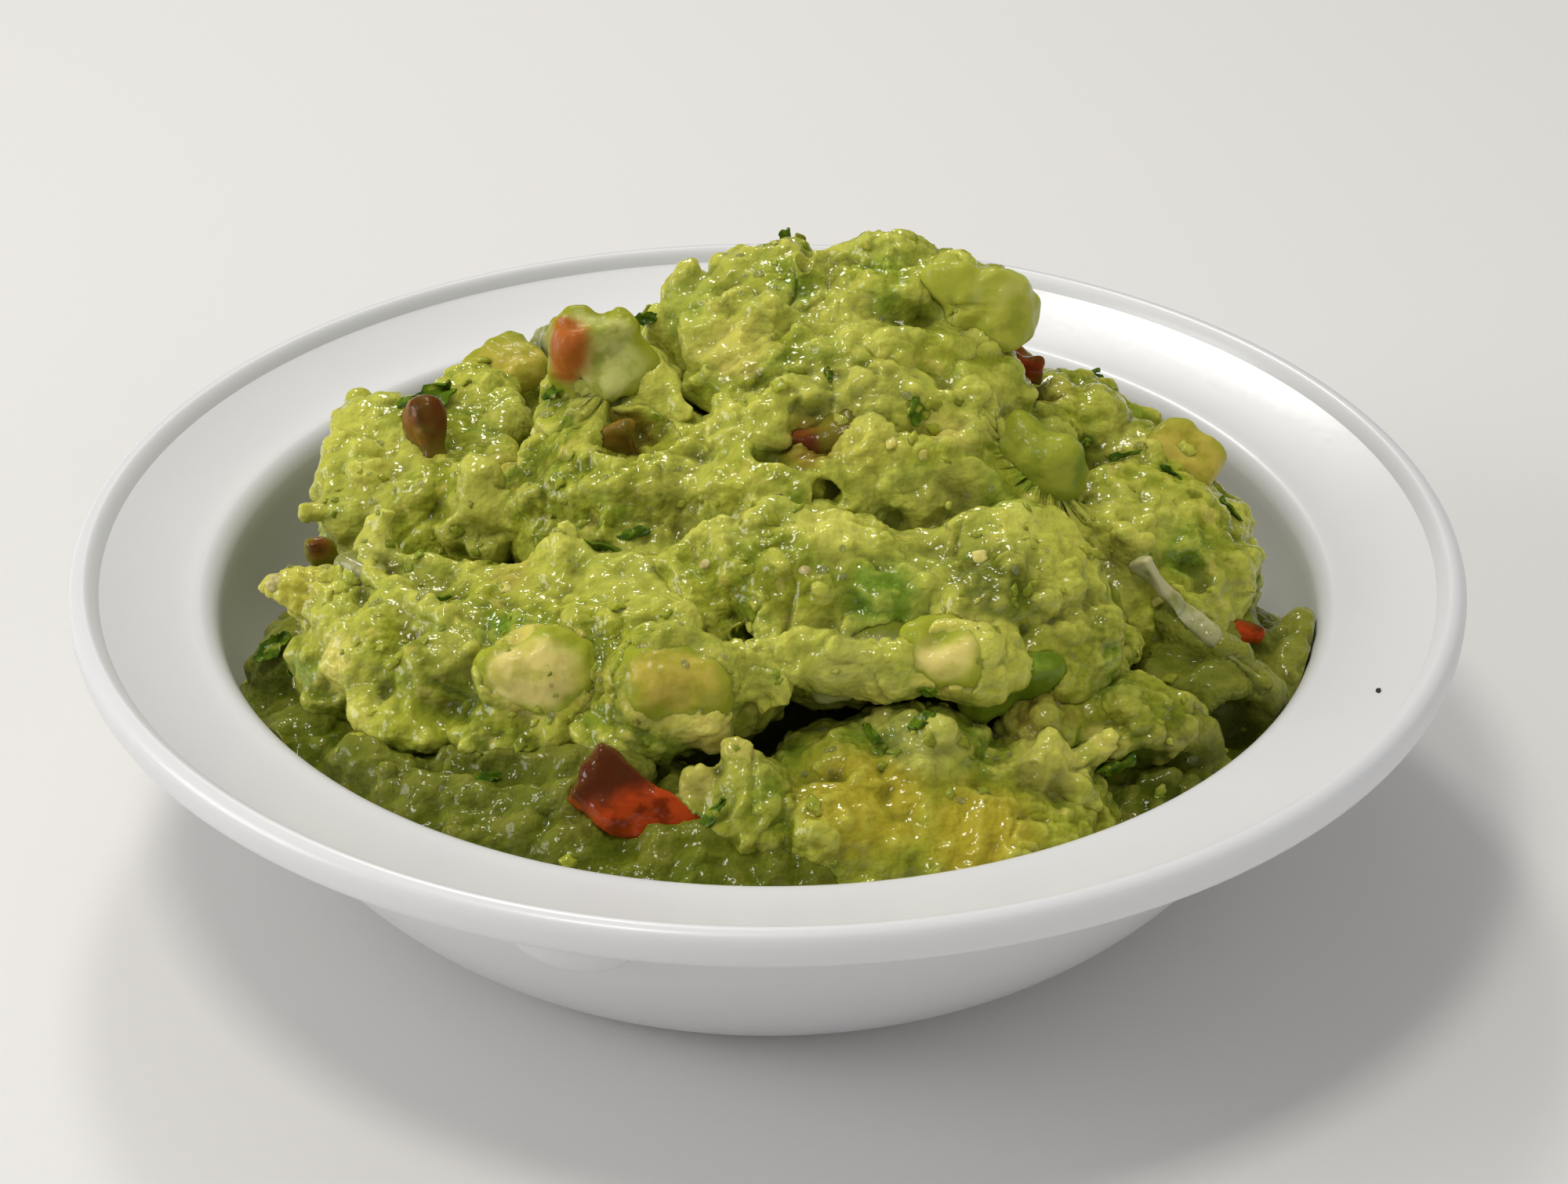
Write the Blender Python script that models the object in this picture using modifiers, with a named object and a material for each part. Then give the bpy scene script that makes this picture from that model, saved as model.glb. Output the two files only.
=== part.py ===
"""Guacamole heaped in a shallow white melamine bowl with a wide, slightly dished rim.

Frame: metres, +Z up, origin on the table under the centre of the bowl's foot. -Y is the side
where the big front spoonful overhangs the lower layer, and +X is to its right.

The bowl is a turned profile. The mash is a heap of spoonfuls that run into one another, trimmed
to the well of the bowl, and the larger pieces of tomato, avocado, onion and green pepper sit in
it as solids of their own.
"""

import math
from dataclasses import dataclass

import bmesh
import bpy
from mathutils import Euler, Vector

MM = 0.001

# Driving dimensions of the bowl
RIM_RADIUS = 82.0 * MM
BOWL_HEIGHT = 38.5 * MM
WELL_RADIUS = 66.0 * MM
WELL_EDGE_Z = 33.5 * MM
WALL = 2.9 * MM
FLOOR_TOP_Z = 4.4 * MM
FLOOR_FLAT_RADIUS = 46.0 * MM
FOOT_OUTER_RADIUS = 48.5 * MM
FOOT_RING_WIDTH = 7.0 * MM
FOOT_RECESS = 1.0 * MM
LIP_TOP_WIDTH = 3.4 * MM
LIP_FACE_TOP_Z = 36.9 * MM
LIP_FACE_BOTTOM_Z = 35.6 * MM
RIM_RISE_POWER = 1.35
BOWL_STEPS = 52

# The small moulded bump under the rim, left of the front
BUMP_AZIMUTH = math.radians(-107.2)
BUMP_RADIUS = 68.6 * MM
BUMP_Z = 27.0 * MM
BUMP_HALF_SIZE = Vector((7.2, 3.0, 4.6)) * MM

# Clearances and fineness
GAP = 0.3 * MM
MASH_VOXEL = 1.5 * MM
MASH_KEEP = 0.062
LUMP_SIZE = 7.0 * MM
LUMP_HEIGHT = 2.6 * MM


@dataclass(frozen=True)
class Spoonful:
    """One rounded lump of mash: centre and half sizes in mm, turn about Z in degrees."""

    name: str
    centre: tuple
    half: tuple
    turn: float = 0.0


@dataclass(frozen=True)
class Chunk:
    """One larger piece in the mash.

    centre and size (whole length, width, height) are in mm, turn holds its Euler angles in
    degrees. squareness runs from 1, an ellipsoid, down to about 0.4, a block with round edges.
    taper is how much the far end (+X) narrows, bend is how far in mm its ends curl down.
    """

    name: str
    centre: tuple
    size: tuple
    turn: tuple
    colour: tuple
    squareness: float = 0.7
    taper: float = 0.0
    bend: float = 0.0


SPOONFULS = (
    # The bed that fills the well and shows along its front
    Spoonful("bed", (0, -2, 9), (72, 70, 19.5)),
    Spoonful("lower_left", (-50, -21, 19), (13, 19, 10), 20),
    Spoonful("lower_front_left", (-33, -41, 24), (24, 18, 9), -32),
    Spoonful("lower_front", (-6, -51, 24), (26, 15, 9.5)),
    Spoonful("lower_front_right", (18, -47, 25.5), (21, 17, 9.5), 12),
    Spoonful("green_lump", (-1, -53, 31), (6, 5, 5), 10),
    Spoonful("lower_right", (42, -31, 24), (19, 20, 10), 25),
    Spoonful("pale_cluster", (34, -42, 32), (8, 6, 4.5), 15),
    Spoonful("right_lump", (41, -33, 32), (9, 8, 6), 30),
    Spoonful("right_edge", (56, -14, 24), (9, 16, 9), 8),
    # The front spoonful: a long ridge from the left spike to the middle right
    Spoonful("front_left_end", (-41, -23, 34), (14, 14, 9), 20),
    Spoonful("front_left_spike", (-53, -19, 40), (6, 3.5, 2.8), 12),
    Spoonful("front_left_peak", (-43, -13, 41), (5, 5, 5)),
    Spoonful("front_left", (-27, -26, 36), (18, 17, 10.5), -8),
    Spoonful("front_peak", (-22, -19, 42), (5, 5, 5.5)),
    Spoonful("front_middle", (-12, -30, 38), (17, 16, 11)),
    Spoonful("front_ridge", (4, -25, 42), (17, 12, 11)),
    Spoonful("front_right", (26, -22, 40), (14, 13, 11.5), 10),
    Spoonful("front_right_low", (32, -28, 36), (9, 10, 9)),
    # The left spoonful behind it
    Spoonful("left", (-37, 0, 35), (17, 15, 10.5)),
    Spoonful("left_spike", (-51, -2, 41), (5, 3, 2.6), 10),
    Spoonful("left_peak", (-33, -8, 43), (4, 3.5, 5.5)),
    Spoonful("back_left", (-41, 13, 35), (14, 14, 12)),
    Spoonful("back_left_low", (-29, 26, 30), (17, 14, 14), 20),
    # The body of the heap
    Spoonful("middle_left", (-14, -5, 42), (17, 16, 13)),
    Spoonful("middle", (2, -9, 43), (16, 15, 13.5)),
    Spoonful("middle_right", (20, -6, 42), (17, 15, 13.5)),
    Spoonful("upper_left", (-19, 7, 48), (9, 10, 10)),
    Spoonful("upper_ridge_left", (-1, -8, 55), (8, 5, 5), 35),
    Spoonful("upper_ridge_right", (13, -7, 56), (11, 5, 5)),
    Spoonful("right", (42, -4, 35), (16, 18, 12.5), 15),
    Spoonful("right_back", (34, 13, 37), (17, 14, 13), -20),
    Spoonful("back", (2, 29, 34), (30, 19, 19)),
    Spoonful("back_right", (24, 29, 30), (18, 15, 15)),
    # The crown
    Spoonful("crown", (8, 13, 52), (20, 16, 15)),
    Spoonful("crown_left", (-6, 11, 57), (8, 9, 9)),
    Spoonful("crown_knob_left", (-9, 14, 63), (3.5, 5, 4.5)),
    Spoonful("crown_top_left", (1, 16, 61), (9, 9, 7.5)),
    Spoonful("crown_top_right", (16, 14, 61), (9, 9, 8.5)),
    Spoonful("crown_right", (24, 12, 59), (6, 8, 8)),
)

TOMATO_RED = (0.42, 0.05, 0.02, 1.0)
AVOCADO_GREEN = (0.35, 0.42, 0.06, 1.0)
AVOCADO_PALE = (0.66, 0.58, 0.20, 1.0)
PEPPER_GREEN = (0.12, 0.32, 0.07, 1.0)
ONION_WHITE = (0.58, 0.62, 0.42, 1.0)

CHUNKS = (
    Chunk("tomato_front", (-12.5, -54.5, 32.5), (18, 9, 8), (0, 22, -32), TOMATO_RED, 0.62, 0.55, 1.2),
    Chunk("tomato_left", (-41.5, 7, 46.5), (11, 7, 8), (0, 60, -75), TOMATO_RED, 0.62, 0.3),
    Chunk("tomato_crown", (-20.5, 4, 59), (12, 10, 13), (0, -12, 10), TOMATO_RED, 0.65, 0.15),
    Chunk("tomato_middle", (-16, -13, 55), (8, 6, 8), (20, 30, -60), TOMATO_RED, 0.65, 0.3),
    Chunk("tomato_centre", (4, -15, 57), (9, 6, 5), (0, -14, 10), TOMATO_RED, 0.65, 0.3),
    Chunk("avocado_crown", (27, 7, 62), (7, 10, 14), (0, 8, 0), AVOCADO_GREEN, 0.75, 0.1),
    Chunk("avocado_back_right", (49, 4, 45), (9, 8, 8), (0, 25, -25), AVOCADO_PALE, 0.6, 0.25),
    Chunk("avocado_round", (32.5, -6, 49.5), (9, 9, 10), (0, 0, 0), AVOCADO_GREEN, 0.85),
    Chunk("avocado_front_left", (-25, -38.5, 41), (11, 8, 9), (0, 0, 15), AVOCADO_PALE, 0.85),
    Chunk("avocado_front_middle", (-10, -42, 42), (12, 8, 10), (0, 10, 0), AVOCADO_PALE, 0.85),
    Chunk("avocado_front_right", (19.5, -37, 43.7), (9.5, 8, 7), (0, 10, -8), AVOCADO_PALE, 0.8),
    Chunk("onion_front", (9, -38.5, 42), (10, 6, 6), (0, -16, 0), ONION_WHITE, 0.7, 0.2),
    Chunk("onion_right", (50, -22, 37), (20, 4.6, 3.4), (0, 33, -20), ONION_WHITE, 0.7, 0.4, 1.5),
    Chunk("pepper_front", (28.5, -37.5, 39.5), (10, 4, 7), (0, -18, 18), PEPPER_GREEN, 0.8, 0.5),
)


def cubic(start, bend_a, bend_b, end, steps):
    """Points of a cubic Bezier curve, without its start."""
    points = []
    for i in range(1, steps + 1):
        t = i / steps
        s = 1.0 - t
        points.append(
            Vector(start) * s**3
            + Vector(bend_a) * (3 * s * s * t)
            + Vector(bend_b) * (3 * s * t * t)
            + Vector(end) * t**3
        )
    return points


def corner(start, bend, end, steps):
    """Points of a quadratic Bezier round a corner, without its start."""
    points = []
    for i in range(1, steps + 1):
        t = i / steps
        points.append(Vector(start) * (1 - t) ** 2 + Vector(bend) * (2 * t * (1 - t)) + Vector(end) * t * t)
    return points


def offset(points, distance):
    """Move each point of an open (radius, height) line to its right by distance."""
    moved = []
    for i, point in enumerate(points):
        before = points[max(i - 1, 0)]
        after = points[min(i + 1, len(points) - 1)]
        along = (after - before).normalized()
        moved.append(point + Vector((along.y, -along.x)) * distance)
    return moved


def well_line():
    """The inner surface from the edge of the flat floor up to just below the edge of the well."""
    floor_end = Vector((FLOOR_FLAT_RADIUS, FLOOR_TOP_Z))
    wall_top = Vector((WELL_RADIUS - 0.8 * MM, WELL_EDGE_Z - 2.0 * MM))
    leave_floor = floor_end + Vector((10.0, 0.8)) * MM
    reach_top = wall_top - Vector((1.8, 13.0)) * MM
    return [floor_end] + cubic(floor_end, leave_floor, reach_top, wall_top, 7)


def body_line():
    """The outer surface from under the rim down to the foot."""
    under_rim = Vector((WELL_RADIUS - 0.8 * MM + WALL, WELL_EDGE_Z - 2.2 * MM))
    foot = Vector((FOOT_OUTER_RADIUS + 0.5 * MM, 0.6 * MM))
    leave_rim = under_rim - Vector((1.5, 13.3)) * MM
    reach_foot = foot + Vector((8.0, 4.4)) * MM
    return [under_rim] + cubic(under_rim, leave_rim, reach_foot, foot, 7)


def rim_line():
    """The rim's upper surface, from the edge of the well out to the raised lip."""
    start = Vector((WELL_RADIUS + 1.4 * MM, WELL_EDGE_Z + 0.3 * MM))
    end = Vector((RIM_RADIUS - LIP_TOP_WIDTH, BOWL_HEIGHT - 1.7 * MM))
    steps = 4
    points = []
    for i in range(steps + 1):
        t = i / steps
        radius = start.x + (end.x - start.x) * t
        height = start.y + (end.y - start.y) * t**RIM_RISE_POWER
        points.append(Vector((radius, height)))
    return points


def bowl_profile():
    """The bowl's half section, from the floor's centre over the rim and down to the recess."""
    inside = well_line()
    rim = rim_line()
    lip_crest = Vector((RIM_RADIUS - 1.7 * MM, BOWL_HEIGHT))
    lip_top = Vector((RIM_RADIUS, LIP_FACE_TOP_Z))
    lip_bottom = Vector((RIM_RADIUS, LIP_FACE_BOTTOM_Z))
    under_lip = Vector((RIM_RADIUS - 1.5 * MM, LIP_FACE_BOTTOM_Z - 1.3 * MM))
    outside = body_line()
    under_rim = Vector((outside[0].x + 2.0 * MM, WELL_EDGE_Z - 1.8 * MM))

    points = [Vector((0.0, FLOOR_TOP_Z))] + inside
    points += corner(inside[-1], (WELL_RADIUS - 0.2 * MM, WELL_EDGE_Z), rim[0], 3)
    points += rim[1:]
    points += corner(rim[-1], (lip_crest.x - 0.9 * MM, BOWL_HEIGHT - 0.1 * MM), lip_crest, 2)
    points += corner(lip_crest, (RIM_RADIUS - 0.1 * MM, BOWL_HEIGHT - 0.1 * MM), lip_top, 3)
    points += [lip_bottom]
    points += corner(lip_bottom, (RIM_RADIUS, under_lip.y), under_lip, 2)
    points += [under_rim]
    points += corner(under_rim, (outside[0].x + 0.1 * MM, under_rim.y - 0.3 * MM), outside[0], 2)
    points += outside[1:]
    points += [
        Vector((FOOT_OUTER_RADIUS - 0.6 * MM, 0.0)),
        Vector((FOOT_OUTER_RADIUS - FOOT_RING_WIDTH, 0.0)),
        Vector((FOOT_OUTER_RADIUS - FOOT_RING_WIDTH - 0.9 * MM, FOOT_RECESS)),
        Vector((0.0, FOOT_RECESS)),
    ]
    return points


def cavity_profile():
    """The space for the mash: the well less the gap, going straight up above the rim."""
    inside = offset(well_line(), -GAP)
    ceiling = 2.5 * BOWL_HEIGHT
    floor_z = FLOOR_TOP_Z + GAP
    wall = [Vector((point.x, max(point.y, floor_z))) for point in inside]
    top_radius = wall[-1].x
    return [
        Vector((0.0, ceiling)),
        Vector((top_radius, ceiling)),
        *reversed(wall),
        Vector((0.0, floor_z)),
    ]


def material(name, colour, roughness, metallic=0.0):
    """A Principled material of one colour, made once for each name."""
    known = bpy.data.materials.get(name)
    if known:
        return known
    made = bpy.data.materials.new(name)
    made.use_nodes = True
    shader = made.node_tree.nodes["Principled BSDF"]
    shader.inputs["Base Color"].default_value = colour
    shader.inputs["Roughness"].default_value = roughness
    shader.inputs["Metallic"].default_value = metallic
    return made


def collection(name):
    """A new collection in the scene."""
    made = bpy.data.collections.new(name)
    bpy.context.scene.collection.children.link(made)
    return made


def add_object(name, mesh_data, where):
    """An object of the mesh, linked to the collection."""
    made = bpy.data.objects.new(name, mesh_data)
    where.objects.link(made)
    return made


def hide_cutter(cutter):
    """Mark an object as one that only cuts others."""
    cutter.hide_render = True
    cutter.display_type = "WIRE"


def turned(name, profile, where):
    """A closed solid turned about Z from a half section that runs down its outer side."""
    shape = bmesh.new()
    line = [shape.verts.new((point.x, 0.0, point.y)) for point in profile]
    for first, second in zip(line, line[1:]):
        shape.edges.new((first, second))
    mesh_data = bpy.data.meshes.new(name)
    shape.to_mesh(mesh_data)
    shape.free()
    made = add_object(name, mesh_data, where)
    screw = made.modifiers.new("turn", "SCREW")
    screw.steps = BOWL_STEPS
    screw.render_steps = BOWL_STEPS
    screw.use_merge_vertices = True
    screw.merge_threshold = 0.00001
    return made


def add_boolean(target, cutter, operation):
    """Cut, join or trim the target by another object."""
    cut = target.modifiers.new(operation.lower() + "_" + cutter.name, "BOOLEAN")
    cut.operation = operation
    cut.object = cutter
    cut.solver = "EXACT"
    return cut


def ellipsoid(shape, centre, half, turn, subdivisions):
    """Add an icosphere with its own half sizes and turn to a bmesh, and return its vertices."""
    rotation = turn.to_matrix()
    new = bmesh.ops.create_icosphere(shape, subdivisions=subdivisions, radius=1.0)["verts"]
    for vert in new:
        scaled = Vector((vert.co.x * half.x, vert.co.y * half.y, vert.co.z * half.z))
        vert.co = rotation @ scaled + centre
    return new


def make_bowl(parts, cutters):
    """The melamine bowl with the small bump under its rim."""
    bowl = turned("bowl", bowl_profile(), parts)
    bowl.data.materials.append(material("white_melamine", (0.72, 0.72, 0.73, 1.0), 0.22))

    shape = bmesh.new()
    centre = Vector((math.cos(BUMP_AZIMUTH), math.sin(BUMP_AZIMUTH), 0.0)) * BUMP_RADIUS
    centre.z = BUMP_Z
    turn = Euler((0.0, 0.0, BUMP_AZIMUTH + math.pi / 2))
    ellipsoid(shape, centre, BUMP_HALF_SIZE, turn, 3)
    mesh_data = bpy.data.meshes.new("rim_bump")
    shape.to_mesh(mesh_data)
    shape.free()
    bump = add_object("rim_bump", mesh_data, cutters)
    hide_cutter(bump)
    add_boolean(bowl, bump, "UNION")
    return bowl


def chunk_mesh(chunk, grow):
    """The chunk's shape in place, each side moved out by grow.

    A sphere's points are pushed towards a block by the squareness, then the far end is
    narrowed and both ends are curled down.
    """
    shape = bmesh.new()
    bmesh.ops.create_icosphere(shape, subdivisions=2, radius=1.0)
    half = Vector(chunk.size) * (0.5 * MM) + Vector((grow, grow, grow))
    turn = Euler([math.radians(angle) for angle in chunk.turn]).to_matrix()
    for vert in shape.verts:
        squared = Vector([math.copysign(abs(value) ** chunk.squareness, value) for value in vert.co])
        widest = max(abs(value) for value in squared)
        length = squared.length
        squared *= (0.5 + 0.5 * length / widest) / length
        narrow = 1.0 - chunk.taper * 0.5 * (1.0 + squared.x)
        point = Vector((squared.x * half.x, squared.y * half.y * narrow, squared.z * half.z * narrow))
        point.z -= chunk.bend * MM * squared.x**2
        vert.co = turn @ point + Vector(chunk.centre) * MM
    mesh_data = bpy.data.meshes.new(chunk.name)
    shape.to_mesh(mesh_data)
    shape.free()
    return mesh_data


def make_chunk(chunk, parts, cutters):
    """One larger piece, and the cutter that makes room for it."""
    made = add_object(chunk.name, chunk_mesh(chunk, 0.0), parts)
    kind = chunk.name.split("_")[0]
    made.data.materials.append(material(kind + "_" + str(chunk.colour[1]), chunk.colour, 0.35))
    room = add_object("room_" + chunk.name, chunk_mesh(chunk, GAP), cutters)
    hide_cutter(room)
    return room


def make_mash(parts, cutters, rooms):
    """The heap of mash: spoonfuls run together, trimmed to the well and cut round the pieces."""
    shape = bmesh.new()
    for spoonful in SPOONFULS:
        turn = Euler((0.0, 0.0, math.radians(spoonful.turn)))
        ellipsoid(shape, Vector(spoonful.centre) * MM, Vector(spoonful.half) * MM, turn, 3)
    mesh_data = bpy.data.meshes.new("guacamole")
    shape.to_mesh(mesh_data)
    shape.free()
    mash = add_object("guacamole", mesh_data, parts)
    mash.data.materials.append(material("avocado_mash", (0.36, 0.42, 0.06, 1.0), 0.35))

    join = mash.modifiers.new("run_together", "REMESH")
    join.mode = "VOXEL"
    join.voxel_size = MASH_VOXEL
    soften = mash.modifiers.new("soften", "SMOOTH")
    soften.factor = 0.5
    soften.iterations = 3
    lumps = bpy.data.textures.new("lumps", "CLOUDS")
    lumps.noise_scale = LUMP_SIZE
    lumps.noise_depth = 1
    uneven = mash.modifiers.new("uneven", "DISPLACE")
    uneven.texture = lumps
    uneven.texture_coords = "LOCAL"
    uneven.strength = LUMP_HEIGHT
    uneven.mid_level = 0.5
    rejoin = mash.modifiers.new("even_mesh", "REMESH")
    rejoin.mode = "VOXEL"
    rejoin.voxel_size = MASH_VOXEL
    thin = mash.modifiers.new("thin_out", "DECIMATE")
    thin.ratio = MASH_KEEP

    cavity = turned("cavity", cavity_profile(), cutters)
    hide_cutter(cavity)
    add_boolean(mash, cavity, "INTERSECT")
    for room in rooms:
        add_boolean(mash, room, "DIFFERENCE")
    return mash


def main():
    """Build the bowl, the larger pieces and the mash."""
    for old in list(bpy.data.objects):
        bpy.data.objects.remove(old, do_unlink=True)
    parts = collection("guacamole_bowl")
    cutters = collection("cutters")
    make_bowl(parts, cutters)
    rooms = [make_chunk(chunk, parts, cutters) for chunk in CHUNKS]
    make_mash(parts, cutters, rooms)


main()
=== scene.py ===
"""Looks of a heap of guacamole in its white bowl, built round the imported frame.

Units: sizes and places in the classes are millimetres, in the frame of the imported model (+Z up,
origin on the table under the bowl, -Y towards the camera). They turn to metres when a shape is
made. The mash is made as the spoonfuls it was heaped from, each one a closed mesh: lumps and
drawn-out ridges that are run together, hollowed, given their relief and kept inside the well.
"""

from __future__ import annotations

import logging
import math
from dataclasses import dataclass
from enum import Enum

import bpy
import numpy as np
from mathutils import Euler, Matrix, Quaternion, Vector
from mathutils.bvhtree import BVHTree


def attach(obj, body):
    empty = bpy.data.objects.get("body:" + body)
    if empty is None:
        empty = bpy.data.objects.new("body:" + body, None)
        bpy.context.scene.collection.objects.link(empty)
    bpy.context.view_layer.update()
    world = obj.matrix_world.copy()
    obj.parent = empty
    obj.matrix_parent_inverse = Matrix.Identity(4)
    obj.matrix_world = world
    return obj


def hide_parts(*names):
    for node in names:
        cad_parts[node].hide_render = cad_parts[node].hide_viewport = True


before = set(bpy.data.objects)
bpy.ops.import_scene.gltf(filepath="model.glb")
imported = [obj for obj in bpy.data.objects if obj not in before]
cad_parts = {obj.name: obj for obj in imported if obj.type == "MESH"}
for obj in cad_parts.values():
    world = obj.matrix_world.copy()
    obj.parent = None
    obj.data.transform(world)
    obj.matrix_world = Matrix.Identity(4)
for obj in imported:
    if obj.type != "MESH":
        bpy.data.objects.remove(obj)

LOG = logging.getLogger("guacamole")
MM = 0.001
ROOT = "root"
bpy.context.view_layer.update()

Pair = tuple[float, float]
Triple = tuple[float, float, float]
Quad = tuple[float, float, float, float]

HASH_PRIMES = (73856093, 19349663, 83492791)
HASH_SEED_PRIME = 2654435761
HASH_MIXER = 1274126177


# ---------------------------------------------------------------- small helpers


def metres(point: Triple) -> Vector:
    """A point or size in millimetres as a vector in metres."""
    return Vector(point) * MM


def turned(angles: Triple) -> Euler:
    """Euler angles in degrees as a rotation."""
    return Euler([math.radians(angle) for angle in angles])


def linear(colour: str) -> tuple[float, float, float, float]:
    """Turn an sRGB hex colour to the linear values that shaders take.

    Args:
        colour: six hex digits after a #.

    Returns:
        Red, green and blue in linear light, and an alpha of 1.
    """
    channels = [int(colour[i : i + 2], 16) / 255 for i in (1, 3, 5)]
    values = [c / 12.92 if c <= 0.04045 else ((c + 0.055) / 1.055) ** 2.4 for c in channels]
    return (*values, 1.0)


def per_size(size: float) -> float:
    """The texture scale at which a pattern repeats about every size millimetres."""
    return 1.0 / (size * MM)


def object_mode() -> None:
    """Leave edit mode and select nothing."""
    if bpy.context.object and bpy.context.object.mode != "OBJECT":
        bpy.ops.object.mode_set(mode="OBJECT")
    bpy.ops.object.select_all(action="DESELECT")


def modify(piece: bpy.types.Object, kind: str, **settings: object) -> None:
    """Add a modifier to a piece and apply it.

    Args:
        piece: the object to change.
        kind: the modifier's type.
        settings: the modifier's values.
    """
    made = piece.modifiers.new(kind.lower(), kind)
    for key, value in settings.items():
        setattr(made, key, value)
    bpy.context.view_layer.objects.active = piece
    bpy.ops.object.modifier_apply(modifier=made.name)


def settle(piece: bpy.types.Object) -> None:
    """Put a piece's place, turn and scale into its mesh."""
    object_mode()
    piece.select_set(True)
    bpy.context.view_layer.objects.active = piece
    bpy.ops.object.transform_apply(location=True, rotation=True, scale=True)


def shade(piece: bpy.types.Object, angle: float = 180.0) -> None:
    """Shade a piece smooth, with sharp edges only above the angle in degrees."""
    object_mode()
    piece.select_set(True)
    bpy.context.view_layer.objects.active = piece
    if angle >= 180.0:
        bpy.ops.object.shade_smooth()
    else:
        bpy.ops.object.shade_smooth_by_angle(angle=math.radians(angle))


def give_material(piece: bpy.types.Object, material: bpy.types.Material) -> None:
    """Give a piece one material in place of any that it has."""
    piece.data.materials.clear()
    piece.data.materials.append(material)


def laid(normal: Vector, spin: float, tip: float = 0.0) -> Quaternion:
    """The turn of a thing that lies on a surface, spun and tipped by degrees."""
    return normal.to_track_quat("Z", "Y") @ turned((tip, 0.0, spin)).to_quaternion()


def roll_surface(piece: bpy.types.Object, size: float, height: float) -> None:
    """Raise and lower a piece's surface in rolling swells.

    Args:
        piece: the object to change.
        size: how far apart the swells are, in mm.
        height: from the lowest to the highest point, in mm.
    """
    texture = bpy.data.textures.new("swells", "CLOUDS")
    texture.noise_scale = size * MM
    texture.noise_depth = 0
    settings = {"texture": texture, "texture_coords": "LOCAL"}
    modify(piece, "DISPLACE", strength=height * MM, mid_level=0.5, **settings)
    bpy.data.textures.remove(texture)


def read_points(piece: bpy.types.Object) -> np.ndarray:
    """A mesh's points as an array of rows x, y, z in metres."""
    points = np.empty(len(piece.data.vertices) * 3, np.float32)
    piece.data.vertices.foreach_get("co", points)
    return points.reshape(-1, 3).astype(float)


def write_points(piece: bpy.types.Object, points: np.ndarray) -> None:
    """Move a mesh's points to the rows of an array in metres."""
    piece.data.vertices.foreach_set("co", points.astype(np.float32).ravel())
    piece.data.update()


def read_normals(piece: bpy.types.Object) -> np.ndarray:
    """A mesh's point normals as rows."""
    normals = np.empty(len(piece.data.vertices) * 3, np.float32)
    piece.data.vertices.foreach_get("normal", normals)
    return normals.reshape(-1, 3).astype(float)


def mesh_arrays(piece: bpy.types.Object) -> tuple[np.ndarray, np.ndarray]:
    """A triangle mesh's points in metres and its faces as rows of three point numbers."""
    faces = np.empty(len(piece.data.polygons) * 3, np.int32)
    piece.data.polygons.foreach_get("vertices", faces)
    return read_points(piece), faces.reshape(-1, 3)


def copies(template: bpy.types.Object, name: str, matrices: list[Matrix]) -> bpy.types.Object:
    """One mesh that holds a copy of a triangle mesh for each matrix.

    Many hundreds of copies are wanted at times, and an operator call for each would take minutes.

    Args:
        template: the shape to copy, which is then removed.
        name: the new piece's name.
        matrices: where each copy goes, how it is turned and its size.

    Returns:
        The new piece.
    """
    points, faces = mesh_arrays(template)
    stack = np.array([[list(row) for row in matrix] for matrix in matrices])
    placed = np.einsum("nij,vj->nvi", stack[:, :3, :3], points) + stack[:, None, :3, 3]
    numbers = faces[None] + len(points) * np.arange(len(matrices))[:, None, None]
    mesh = bpy.data.meshes.new(name)
    mesh.from_pydata(placed.reshape(-1, 3), [], numbers.reshape(-1, 3))
    bpy.data.objects.remove(template)
    piece = bpy.data.objects.new(name, mesh)
    bpy.context.scene.collection.objects.link(piece)
    return piece


def ball(subdivisions: int) -> bpy.types.Object:
    """A round ball of radius 1, to be copied."""
    object_mode()
    bpy.ops.mesh.primitive_ico_sphere_add(subdivisions=subdivisions, radius=1.0)
    return bpy.context.object


def write_attribute(piece: bpy.types.Object, name: str, values: np.ndarray) -> None:
    """Store one number per point on a mesh, for its material to read."""
    layer = piece.data.attributes.new(name, "FLOAT", "POINT")
    layer.data.foreach_set("value", values.astype(np.float32))


def smoothstep(values: np.ndarray) -> np.ndarray:
    """Values clipped to 0..1 and eased at both ends."""
    clipped = np.clip(values, 0.0, 1.0)
    return clipped * clipped * (3.0 - 2.0 * clipped)


def scatter_hash(cells: np.ndarray, seed: int) -> np.ndarray:
    """A number between 0 and 1 for each whole-numbered cell, the same on every run."""
    mixed = seed * HASH_SEED_PRIME
    for axis, prime in enumerate(HASH_PRIMES):
        mixed = mixed ^ cells[:, axis] * prime
    mixed = (mixed ^ mixed >> 13) * HASH_MIXER & 0xFFFFFFFF
    return (mixed ^ mixed >> 16) % 65536 / 65535.0


def rolling_noise(points: np.ndarray, size: float, seed: int) -> np.ndarray:
    """Smooth noise between -1 and 1 that rolls about every size.

    Args:
        points: rows of places.
        size: the size of a roll, in the points' unit.
        seed: a number that picks the pattern.

    Returns:
        One value per row.
    """
    cell = np.floor(points / size).astype(np.int64)
    part = points / size - cell
    ease = part * part * (3.0 - 2.0 * part)
    total = np.zeros(len(points))
    for corner in range(8):
        step = np.array([corner & 1, corner >> 1 & 1, corner >> 2 & 1])
        weight = np.prod(np.where(step == 1, ease, 1.0 - ease), axis=1)
        total += (scatter_hash(cell + step, seed) * 2.0 - 1.0) * weight
    return total


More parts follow.
